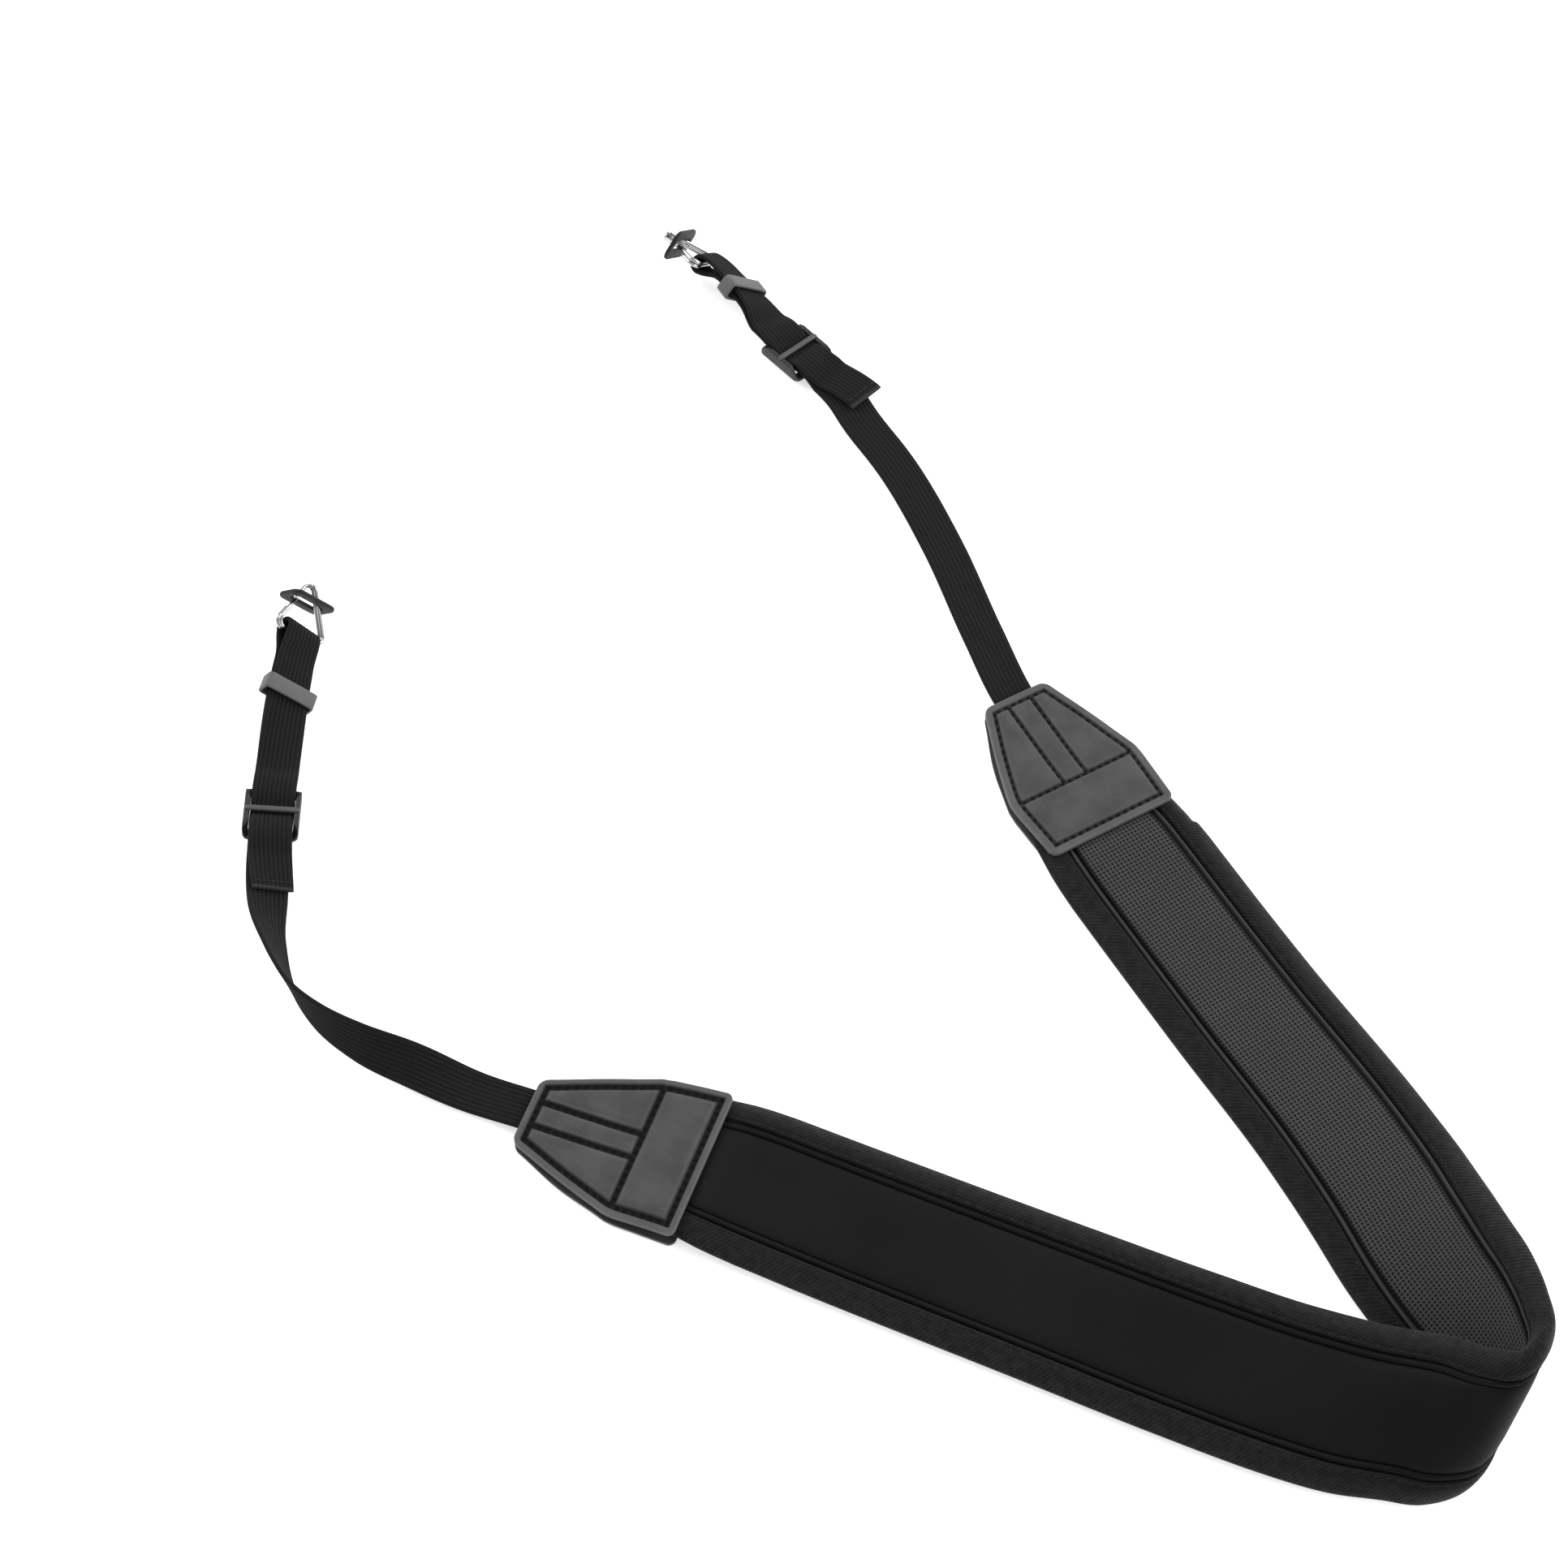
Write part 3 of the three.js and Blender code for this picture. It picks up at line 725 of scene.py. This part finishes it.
def tapered(distance, length, across, out):
    """Offsets across and out at each station, pressed flat and drawn in where the pad is sewn into
    the tabs."""
    thickness, width = read_table(PAD_TAPER, np.minimum(distance, length - distance))
    return across * width, out * thickness


def seam_marks(across, *seams):
    """1 on the seams and 0 away from them, each seam given by its place and half width."""
    a = np.abs(across)
    return np.maximum.reduce([np.exp(-((a - place) / half) ** 2) for place, half in seams])


def puckers(distance, sizes, depth, across, seam):
    """Small waves of the cloth beside a row of stitches."""
    return depth * np.sin(distance * tau / (sizes.stitch / MM))[:, None] * seam_marks(across, seam)


def pad_crown(across, crown):
    """Height of the outer face: a flat crown that drops into a sewn groove on each side, then a
    narrow ridge and a second groove at the binding's edge."""
    a = np.abs(across)
    floor = crown - 0.95
    top = floor + 0.95 * np.sqrt(1 - np.clip(a / SEAM, 0, 1) ** 6)
    ridge = floor + 0.75 * np.sin(pi * np.clip((a - SEAM) / (BINDING_EDGE - SEAM), 0, 1)) ** 0.6
    under = ease(a, BINDING_EDGE, BINDING_EDGE + 0.6) * 1.05
    return np.where(a < SEAM, top, ridge) - under


def lining_drop(across):
    """Depth of the lining's face: nearly flat, with a groove, a piping ridge and another groove
    along each side."""
    a = np.abs(across)
    flat = 1.75 + 0.65 * np.sqrt(1 - np.clip(a / LINING_SEAM, 0, 1) ** 8)
    bulge = np.sin(pi * np.clip((a - LINING_SEAM - 0.3) / 1.2, 0, 1)) ** 0.6
    return np.where(a < LINING_SEAM, flat, 1.55 + 0.8 * bulge)


def columns(*spans):
    """Numbers over joined spans: each span is its start and its count of steps, and the last
    entry is the end."""
    parts = [np.linspace(a[0], b[0], a[1], endpoint=False) for a, b in zip(spans, spans[1:])]
    return np.concatenate([*parts, [spans[-1][0]]])


def pad_stations(band, step):
    """Distances along the pad, from end to end."""
    start = TAB_LENGTH - PAD_INSIDE_TAB
    return np.linspace(start, band.length - start, int((band.length - 2 * start) / step))


def pad_body(band, sizes):
    """The foam pad: its crowned outer face over a flat back, thin under the bindings."""
    thin_from = 14.4
    d = pad_stations(band, 1.2)
    half = columns((0, 8), (9, 10), (11.2, 12), (12.2, 12), (thin_from, 4), (19.1,))
    face = np.concatenate([half[::-1], -half[1:]])
    thin = np.abs(face) > thin_from
    high = np.where(thin, 0.7, pad_crown(face, sizes.pad_crown / MM))
    deep = np.where(thin, 0.6, 1.15)
    across = np.concatenate([face, face[::-1] * 0.999])
    out = np.concatenate([high, -deep[::-1]]) - puckers(d, sizes, 0.06, across, (SEAM, 0.8))
    seam = np.maximum(0.75 * seam_marks(across, (SEAM, 0.3)), seam_marks(across, (BINDING_EDGE, 0.6)))
    return skin(band.frames(d).at(*tapered(d, band.length, across, out)), seam=seam)


def pad_lining(band):
    """The mesh lining on the back of the pad."""
    d = pad_stations(band, 1.2)
    half = columns((0, 8), (9, 8), (11.4, 12), (12.4, 12), (BINDING_EDGE,))
    face = np.concatenate([-half[::-1], half[1:]])
    across = np.concatenate([face, face[::-1]])
    out = np.concatenate([-lining_drop(face), np.full(len(face), -1.2)])
    seam = seam_marks(across, (LINING_SEAM - 0.2, 0.8), (BINDING_EDGE - 0.05, 0.45))
    piping = ease(np.abs(across), LINING_SEAM - 0.2, LINING_SEAM)
    return skin(band.frames(d).at(*tapered(d, band.length, across, out)), seam=seam, piping=piping)


# The stitches' distance from the middle line, and the place and height of the step where the
# upper binding is lapped, from the right end
STITCH_ROW = 14.9
LAP = TAB_LENGTH + 8
LAP_STEP = 0.8


def edge_binding(band, sizes, side):
    """A binding folded round one edge: a flattened oval outside, with its two free edges turned
    over, and the pad's edge inside."""
    full = sizes.binding_thickness / MM
    outer = sizes.pad_width / MM / 2
    reach = outer - BINDING_EDGE
    s = columns((1, 12), (0.8, 10), (0.25, 6), (0.04, 4), (0.0,))
    top = full * (1 - s ** 2.6) ** 0.5 * (0.9 + 0.18 * np.sin(pi * s ** 0.7))
    top = top - 0.45 * np.exp(-(s / 0.05) ** 2) - 0.14 * np.exp(-((s - 0.2) / 0.04) ** 2)
    a = BINDING_EDGE + reach * s
    inside = np.array(((13.75, full - 0.75), (18.1, 1.35), (19.4, 0.6)))
    ring = np.concatenate([
        np.stack([a, top], 1), inside, (inside * (1, -1))[::-1], np.stack([a, -top], 1)[::-1][:-1],
    ])
    d = pad_stations(band, 0.7)
    across, out = ring.T
    pucker = puckers(d, sizes, 0.08, across, (STITCH_ROW, 0.9))
    lap = LAP_STEP * (1 - ease(band.length - d, LAP - 0.4, LAP + 0.4))[:, None]
    across = across - (side > 0) * lap * ease(across, outer - 3, outer)
    across, out = tapered(d, band.length, across, out - pucker * np.sign(out))
    # Painted shade: darker towards the binding's inner edge, so the rim looks lit; it is carried in the
    # seam mark
    painted_shade = 0.5 * (1 - ease(across, BINDING_EDGE + 1.5, outer - 0.8))
    seam = np.maximum(seam_marks(across, (BINDING_EDGE, 0.45)), painted_shade)
    across, out, seam = (v[:, ::side] for v in (across * side, out, seam))
    return skin(band.frames(d).at(across, out), seam=seam)


def pad_stitches(band, sizes):
    """A row of stitches along each binding, on both faces of the pad."""
    pitch = sizes.stitch / MM
    start = TAB_LENGTH + 1.6
    d = np.arange(start, band.length - start, pitch)
    frames = band.frames(d)
    rows = []
    for side in (1, -1):
        for height in (2.26, -2.26):
            across, out = tapered(d, band.length, side * STITCH_ROW, height)
            rows += stitches(frames, across[:, 0], out[:, 0], pitch * 0.4, 0.32)
    return joined(rows)


class STRAP_OT_pad(bpy.types.Operator):
    """Builds the pad, its lining, its bindings and their stitches"""

    bl_idname = "strap.pad"
    bl_label = "Build the pad"

    def execute(self, context):
        sizes, band = sizes_and_band(context)
        body = make_piece("neck_pad", pad_body(band, sizes), "neoprene", ["pad_core"])
        make_piece("pad_lining", pad_lining(band), "mesh", ["mesh_panel"])
        for name, side in (("upper", 1), ("lower", -1)):
            shape = edge_binding(band, sizes, side)
            make_piece("edge_binding_" + name, shape, "binding", ["binding_" + name])
        make_piece("pad_stitches", pad_stitches(band, sizes), "thread")
        return {"FINISHED"}


# Leather tabs

# The groove inside the edge, the one across, the two along the narrow part, and their depth, their
# width on the front and the back, and the pitch of their stitches
GROOVE_INSET = 2.5
CROSS_GROOVE = 29.8
ROW_GROOVES = (-3.3, 3.3)
GROOVE_DEPTH = 0.58
GROOVE_WIDTH = {1: 1.75, -1: 1.1}
HOLE_PITCH = 2.2

# The radius of a patch's corners and of its edge, and how far the leather rises between grooves
CORNER = 2.0
EDGE_RADIUS = 0.45
PILLOW = 0.34

# Closer rows and columns near an edge and the groove across, and a distance past every groove
NEAR_EDGE = np.array((
    0, 0.05, 0.14, 0.28, 0.5, 0.8, 1.2, 1.5, 1.75, 1.95, 2.15, 2.35, 2.5, 2.65, 2.85, 3.05, 3.3, 3.8,
))
NEAR_GROOVE = np.array((-1.2, -0.8, -0.55, -0.35, -0.15, 0, 0.15, 0.35, 0.55, 0.8, 1.2))
FAR = 9.0


def tab_insets(along, across, half):
    """How far each point is inside the sides, and inside the whole outline with its round corners."""
    from_side = half - np.abs(across)
    from_end = np.minimum(along, TAB_LENGTH - along)
    rounded = CORNER - np.hypot(CORNER - from_side, CORNER - from_end)
    in_corner = (from_side < CORNER) & (from_end < CORNER)
    return from_side, np.where(in_corner, rounded, np.minimum(from_side, from_end))


def tab_grooves(along, across, from_side, inset):
    """The distance to the nearest groove, whether that one runs lengthwise, and 1 where a point is
    inside the groove that runs all round."""
    inside = ease(inset, GROOVE_INSET - 0.2, GROOVE_INSET)
    narrow = ease(along, 2.4, 2.9) * (1 - ease(along, CROSS_GROOVE - 0.3, CROSS_GROOVE))
    rows = [np.where((narrow > 0.5) & (inside > 0.5), np.abs(across - k), FAR) for k in ROW_GROOVES]
    cross = np.where(inside > 0.5, np.abs(along - CROSS_GROOVE), FAR)
    nearest = np.minimum.reduce([np.abs(inset - GROOVE_INSET), cross, *rows])
    lengthwise = np.minimum.reduce([np.abs(from_side - GROOVE_INSET), *rows]) <= nearest + 0.3
    return nearest, lengthwise, inside


def round_section(bottom, top):
    """Once round a patch's section: its bottom's columns, and its top's in the opposite order."""
    return np.concatenate([bottom, top[:, ::-1]], 1)


def tab_patch(band, sizes, side, face):
    """One leather patch: flat underneath, with a rounded edge, a groove all round, a groove across
    and two grooves along the narrow part. The leather between the grooves is slightly pillowed."""
    s = np.concatenate([
        NEAR_EDGE,
        np.arange(4.6, CROSS_GROOVE - 1.3, 0.6),
        CROSS_GROOVE + NEAR_GROOVE,
        np.arange(CROSS_GROOVE + 1.7, TAB_LENGTH - 4.2, 0.6),
        TAB_LENGTH - NEAR_EDGE[::-1],
    ])
    half, gap = read_table(TAB, s)
    factor, shift = read_table(TAB_FIT[side], s)
    bulge = 1.0 if (face < 0) == (side == "left") else 0.3
    half = half * factor + bulge * np.sin(pi * np.clip(s / CROSS_GROOVE, 0, 1))[:, None] ** 2
    bite = np.clip(CORNER - np.minimum(s, TAB_LENGTH - s)[:, None], 0, CORNER)
    cut = half - (CORNER - np.sqrt(CORNER ** 2 - bite ** 2))
    middle = np.linspace(-1, 1, 96)[1:-1] * (cut - 4.2)
    a = np.concatenate([NEAR_EDGE - cut, middle, cut - NEAR_EDGE[::-1]], 1)
    along = s[:, None] + 0 * a
    from_side, inset = tab_insets(along, a, half)
    nearest, lengthwise, inside = tab_grooves(along, a, from_side, inset)

    width = GROOVE_WIDTH[face]
    groove = 1 - ease(nearest, width * 0.3, width * 0.62)
    hole = np.sin(np.where(lengthwise, along, a) * tau / HOLE_PITCH)
    pillow = PILLOW * ease(nearest, 0.2, 3.0) * inside
    near = np.clip(EDGE_RADIUS - inset, 0, EDGE_RADIUS)
    over = EDGE_RADIUS - np.sqrt(np.maximum(EDGE_RADIUS ** 2 - near ** 2, 0))
    thick = sizes.leather_thickness / MM
    top = gap + thick + pillow - (GROOVE_DEPTH + 0.05 * hole) * groove - over * 1.2
    dark = groove * (0.96 + 0.04 * hole if face > 0 else 0.82 + 0.18 * hole)
    # Painted highlight: a lighter band beside each groove, where the pillowed leather would catch the
    # light
    painted_groove_highlight = np.exp(-((nearest - width * 0.75) / 0.35) ** 2)
    # Lighter rounded edge and rim: partly wear, partly painted highlight where the edge catches the
    # light
    worn = np.maximum.reduce([1 - ease(inset, 0.1, 0.8), 0.34 * (1 - inside), 0.22 * painted_groove_highlight])

    distance = s * TAB_STRETCH[side]
    layers = [
        round_section(low, high)[:, ::face]
        for low, high in ((a, a), (gap + 0 * a, top), (0 * a, dark), (0 * a, worn))
    ]
    if side == "right":
        distance = band.length - distance[::-1]
        shift = shift[::-1]
        layers = [layer[::-1] for layer in layers]
    across, out, groove, worn = layers
    points = band.frames(distance).at(across + shift, out * face)
    return skin(points, groove=groove, worn=worn)


class STRAP_OT_tabs(bpy.types.Operator):
    """Builds the four leather patches of the two tabs"""

    bl_idname = "strap.tabs"
    bl_label = "Build the leather tabs"

    def execute(self, context):
        sizes, band = sizes_and_band(context)
        for side in SIDES:
            for name, face in (("front", 1), ("back", -1)):
                patch = tab_patch(band, sizes, side, face)
                stands_for = [f"tab_{side}_{name}"]
                make_piece(f"leather_{side}_{name}", patch, "leather", stands_for, sharp=70)
        return {"FINISHED"}


# Tapes

def tape_line(side, path):
    """The tape's middle line: in from its tab below the face between the layers, round the ring's
    bar, and back above that face to its tail."""
    slide = SLIDE_AT[side]
    tail_end = slide + TAIL_LENGTH

    def layer(d, sign, drift=0.0):
        f = path.frames(d)
        wave = curve(WAVE[:, 0], WAVE[:, 1:], d - slide)[:, 0]
        apart = BAR_TO_TAPE + (LAYER_STEP / 2 - BAR_TO_TAPE) * ease(d, 0, 8)
        apart = apart - LAYER_STEP / 2 * ease(d, tail_end + 5, tail_end + 20)
        sideways = f.across * np.reshape(drift, (-1, 1))
        return f.centre + sideways + f.out * (wave + sign * apart)[:, None], f.across

    out_d = np.linspace(path.length, 0, int(path.length))
    back_d = np.linspace(0, tail_end, int(tail_end))
    drift = TAIL_DRIFT[side] * np.clip((back_d - slide - TAIL_FREE) / (TAIL_LENGTH - TAIL_FREE), 0, 1)
    first = path.frames(np.zeros(1))
    angle = np.radians(np.linspace(-80, 80, 9))[:, None]
    turn = first.centre + BAR_TO_TAPE * (first.out * np.sin(angle) - first.along * np.cos(angle))
    round_bar = (turn, np.repeat(first.across, len(turn), 0))
    pieces = [layer(out_d, -1), round_bar, layer(back_d, 1, drift)]
    centre, across = (np.vstack(rows) for rows in zip(*pieces))
    along = unit(np.gradient(centre, axis=0))
    across = unit(across - along * np.sum(across * along, 1)[:, None])
    return Frames(centre, along, across)


def tape_section(width, thickness):
    """A flat section with lengthwise cords on both faces and round selvedges, and how high on a cord
    each point is, which sets the painted highlight on the cord tops and the painted shade between them."""
    edge = thickness / 2
    pitch = 1.12
    flat = np.linspace(width / 2 - edge, edge - width / 2, 67)
    cord = np.abs(np.cos(pi * flat / pitch)) ** 0.8
    top = np.stack([flat, edge - 0.13 + 0.17 * cord], 1)
    turn = np.linspace(-pi / 2, pi / 2, 7)[1:-1]
    selvedge = np.stack([np.cos(turn), np.sin(turn)], 1) * edge + (width / 2 - edge, 0)
    plain = np.full(len(turn), 0.8)
    section = np.concatenate([selvedge, top, -selvedge, -top])
    return section, np.concatenate([plain, cord, plain, cord])


def tape_shape(line, sizes):
    """The tape's section carried along its line, pressed thinner and lighter at the cut end."""
    section, rib = tape_section(sizes.tape_width / MM, sizes.tape_thickness / MM)
    distance = travelled(line.centre)
    to_end = (distance[-1] - distance)[:, None]
    squeeze = 1 - 0.25 * (1 - ease(to_end, 0, 1.4))
    across, out = section.T
    return skin(line.at(across, out * squeeze), rib=rib, worn=0.35 * (1 - ease(to_end, 0.1, 0.9)))


def tail_stitches(line, sizes):
    """A short row of stitches across the tail, near its end."""
    count, reach, inset = 5, 4, 2.4
    distance = travelled(line.centre)
    near = np.argmin(np.abs(distance[-1] - distance - inset))
    axes = (line.centre, line.across, -line.along)
    centre, along, across = (np.repeat(rows[near][None], count, 0) for rows in axes)
    row = Frames(centre + along * np.linspace(-reach, reach, count)[:, None], along, across)
    return stitches(row, 0.0, sizes.tape_thickness / MM / 2 + 0.04, 0.72, 0.4)


class STRAP_OT_tapes(bpy.types.Operator):
    """Builds the two woven tapes and the stitches on their tails"""

    bl_idname = "strap.tapes"
    bl_label = "Build the tapes"

    def execute(self, context):
        sizes, band = sizes_and_band(context)
        for side in SIDES:
            line = tape_line(side, tape_path(side, band))
            tape = tape_shape(line, sizes)
            make_piece("tape_" + side, tape, "tape", ["webbing_" + side])
            row = joined(tail_stitches(line, sizes))
            make_piece("tail_stitches_" + side, row, "thread")
        return {"FINISHED"}


# Slides, keepers, rings and guards

# In degrees: how far the keepers are turned on the tapes, and how far the rings tilt
KEEPER_TURN = 10.0
RING_TILT = 8.0


def slide_shape(sizes):
    """A three-bar slide: a frame whose rails rise between its two low end bars, and a middle bar
    laid across the rails."""
    length, opening, wall = 15, 10.2, 1.35
    inside = sizes.tape_width / MM + 0.4
    outer = rounded_outline(length, inside + 2 * wall, 1.6)
    inner = rounded_outline(opening, inside, 0.5)
    rail = ease(np.abs(inner[:, 1]), inside / 2 - 0.35, inside / 2 - 0.02)
    rail = rail * (1 - 0.75 * ease(np.abs(outer[:, 0]), opening / 2, length / 2))
    body = pierced(outer, inner, -1.3, -0.2 + 2.5 * rail, 0.4)
    x, z = rounded_outline(1.5, 0.9, 0.38, 1, 4).T
    y = np.linspace(1, -1, 15)[:, None]
    squeeze = np.sqrt(1 - np.abs(y) ** 12)
    bar = np.stack([
        x * (0.7 + 0.3 * squeeze), y * (inside + 2.5) / 2 + 0 * x, 2.3 + z * (0.5 + 0.5 * squeeze),
    ], -1)
    # The third value lightens each part: the frame a little, and the middle bar fully, as a painted
    # highlight along its top
    return [(body, True, 0.12), (bar, False, 1)]


def keeper_shape(sizes):
    """A flat loop: a thin rounded wall carried round the two layers of tape."""
    wall, half_length = 0.75, 2.25
    width, height = sizes.tape_width / MM + 1.8, 2 * sizes.tape_thickness / MM + 1.5
    outer = rounded_outline(width + 2 * wall, height + 2 * wall, 1.2)
    inner = rounded_outline(width, height, 0.5)
    loop = pierced(outer, inner, -half_length, half_length, 0.3)
    loop = turned(np.stack([loop[..., 2], loop[..., 1], loop[..., 0]], -1), KEEPER_TURN)
    return [(np.stack([loop[..., 0], loop[..., 2], loop[..., 1]], -1), True, 0)]


def ring_shape(sizes):
    """The split ring: one wire twice round a triangle with round corners, stepping from the lower
    turn to the upper, with rounded ends."""
    half, height, corner, tip, split = 7.25, 14, 2, 1.8, 0.62
    lean = np.arctan2(height, half)

    def arc(x, y, radius, start, end):
        turn = np.linspace(start, end, 24)
        return np.stack([x + radius * np.cos(turn), y + radius * np.sin(turn)], 1)

    outline = np.vstack([
        [(0, 0)],
        arc(-corner, half - corner, corner, 0, pi - lean),
        arc(tip - height, 0, tip, pi - lean, pi + lean),
        arc(-corner, corner - half, corner, pi + lean, tau),
        [(0, 0)],
    ])
    length = travelled(outline)
    turns = np.linspace(0.1, 1.9, 240)
    at = (turns + split) % 1 * length[-1]
    x, y = (np.interp(at, length, column) for column in outline.T)
    wire = sizes.wire / MM
    z = (ease(turns, 0.9, 1.1) - 0.5) * (wire + 0.05)
    centre = np.stack([x, y, z], 1)
    along = unit(np.gradient(centre, axis=0))
    up = unit(np.array((0, 0, 1)) - along * along[:, 2:])
    radius = np.full((len(turns), 1), wire / 2)
    radius[[0, -1]] *= 0.55
    radius[[1, -2]] *= 0.9
    sides = 14
    angle = np.arange(sides) * tau / sides
    frames = Frames(centre, along, np.cross(up, along))
    return [(turned(frames.at(np.cos(angle) * radius, np.sin(angle) * radius), RING_TILT), False, 0)]


def guard_shape(sizes):
    """The guard: a thin plate across the ring, with a slot for the ring's two legs."""
    outer = rounded_outline(14, 9, 2.5, 9, 9)
    slot = rounded_outline(9.6, 3, 1, 9, 9)
    from_bar = -9.5
    y, z, x = np.moveaxis(pierced(outer, slot, -0.5, 0.5, 0.32), -1, 0)
    return [(turned(np.stack([x + from_bar, y, z], -1), RING_TILT), True, 0)]


def put_on_tapes(context, name, shapes, finish, node, distance):
    """Places one hardware shape on each tape. A shape's parts are each its points, whether they close
    into a ring, and how much they are lightened, by wear and by painted highlight."""
    sizes, band = sizes_and_band(context)
    for side in SIDES:
        path = tape_path(side, band)
        parts = [
            skin(placed(points, path, distance[side]), ring, worn=worn)
            for points, ring, worn in shapes(sizes)
        ]
        make_piece(f"{name}_{side}", joined(parts), finish, [f"{node}_{side}"])
    return {"FINISHED"}


class STRAP_OT_slides(bpy.types.Operator):
    """Builds the two three-bar slides"""

    bl_idname = "strap.slides"
    bl_label = "Build the slides"

    def execute(self, context):
        return put_on_tapes(context, "slide", slide_shape, "slide", "adjuster", SLIDE_AT)


class STRAP_OT_keepers(bpy.types.Operator):
    """Builds the two keeper loops"""

    bl_idname = "strap.keepers"
    bl_label = "Build the keepers"

    def execute(self, context):
        return put_on_tapes(
            context, "loop", keeper_shape, "keeper", "keeper", KEEPER_AT
        )


class STRAP_OT_rings(bpy.types.Operator):
    """Builds the two split rings"""

    bl_idname = "strap.rings"
    bl_label = "Build the split rings"

    def execute(self, context):
        return put_on_tapes(context, "split_ring", ring_shape, "steel", "ring", RING_AT)


class STRAP_OT_guards(bpy.types.Operator):
    """Builds the two ring guards"""

    bl_idname = "strap.guards"
    bl_label = "Build the ring guards"

    def execute(self, context):
        return put_on_tapes(
            context, "guard", guard_shape, "guard", "ring_guard", RING_AT
        )


# Stage

# Soft lights: name, place, size and power, each aimed at the strap's middle
LIGHTS = (
    ("window_left", (-1.3, -0.2, 0.9), 0.9, 16),
    ("window_back", (0.2, 1.4, 1.0), 1.0, 20),
    ("window_right", (1.3, 0.4, 0.8), 0.7, 8),
)
SKY = 0.6
FLOOR_GLOW = 0.55
FLOOR_HALF = 2000.0
FLOOR_GAP = 0.02


class STRAP_OT_stage(bpy.types.Operator):
    """Makes the camera, the floor and the soft lights"""

    bl_idname = "strap.stage"
    bl_label = "Build the stage"

    def execute(self, context):
        scene = context.scene
        camera = bpy.data.cameras.new("photo_camera")
        camera.sensor_fit = "HORIZONTAL"
        camera.angle = radians(FIELD_OF_VIEW)
        scene.camera = add_object("photo_camera", camera)
        scene.camera.location = TARGET + TO_CAMERA
        scene.camera.rotation_euler = (-TO_CAMERA).to_track_quat("-Z", "Y").to_euler()

        edge = np.linspace(-FLOOR_HALF, FLOOR_HALF, 9)
        x, y = np.meshgrid(edge, edge, indexing="ij")
        points = np.stack([x, y, np.full_like(x, -FLOOR_GAP)], -1)
        rows = len(edge)
        a = np.arange(rows * (rows - 1)).reshape(rows - 1, rows)[:, :-1].ravel()
        faces = np.stack([a, a + rows, a + rows + 1, a + 1], 1)
        mesh = bpy.data.meshes.new("floor")
        mesh.from_pydata(points.reshape(-1, 3) * MM, [], faces.tolist())
        mesh.materials.append(finish_of("floor"))
        floor = add_object("floor", mesh)

        world = bpy.data.worlds.new("studio")
        world.use_nodes = True
        sky = world.node_tree.nodes["Background"]
        sky.inputs["Color"].default_value = (1, 1, 1, 1)
        sky.inputs["Strength"].default_value = SKY
        scene.world = world
        for name, place, size, power in LIGHTS:
            light = bpy.data.lights.new(name, "AREA")
            light.size = size
            light.energy = power
            lamp = add_object(name, light)
            lamp.location = place
            lamp.rotation_euler = (TARGET - Vector(place)).to_track_quat("-Z", "Y").to_euler()
        scene.view_settings.view_transform = "Standard"
        return {"FINISHED"}


class STRAP_PT_panel(bpy.types.Panel):
    """Lists the strap's sizes, colours and building steps"""

    bl_idname = "STRAP_PT_panel"
    bl_label = "Camera neck strap"
    bl_space_type = "VIEW_3D"
    bl_region_type = "UI"
    bl_category = "Strap"

    def draw(self, context):
        for group in (context.scene.strap_sizes, context.scene.strap_colours):
            box = self.layout.box()
            for name in group.__annotations__:
                box.prop(group, name)
        for operator in STEPS:
            self.layout.operator(operator.bl_idname)


STEPS = (
    STRAP_OT_stage, STRAP_OT_pad, STRAP_OT_tabs, STRAP_OT_tapes, STRAP_OT_slides, STRAP_OT_keepers,
    STRAP_OT_rings, STRAP_OT_guards,
)
CLASSES = (StrapSizes, StrapColours, *STEPS, STRAP_PT_panel)


def register():
    for cls in CLASSES:
        bpy.utils.register_class(cls)
    bpy.types.Scene.strap_sizes = PointerProperty(type=StrapSizes)
    bpy.types.Scene.strap_colours = PointerProperty(type=StrapColours)


def unregister():
    del bpy.types.Scene.strap_colours
    del bpy.types.Scene.strap_sizes
    for cls in reversed(CLASSES):
        bpy.utils.unregister_class(cls)


def main():
    register()
    for step in STEPS:
        group, name = step.bl_idname.split(".")
        getattr(getattr(bpy.ops, group), name)()
    bpy.context.view_layer.update()


if __name__ == "__main__":
    main()
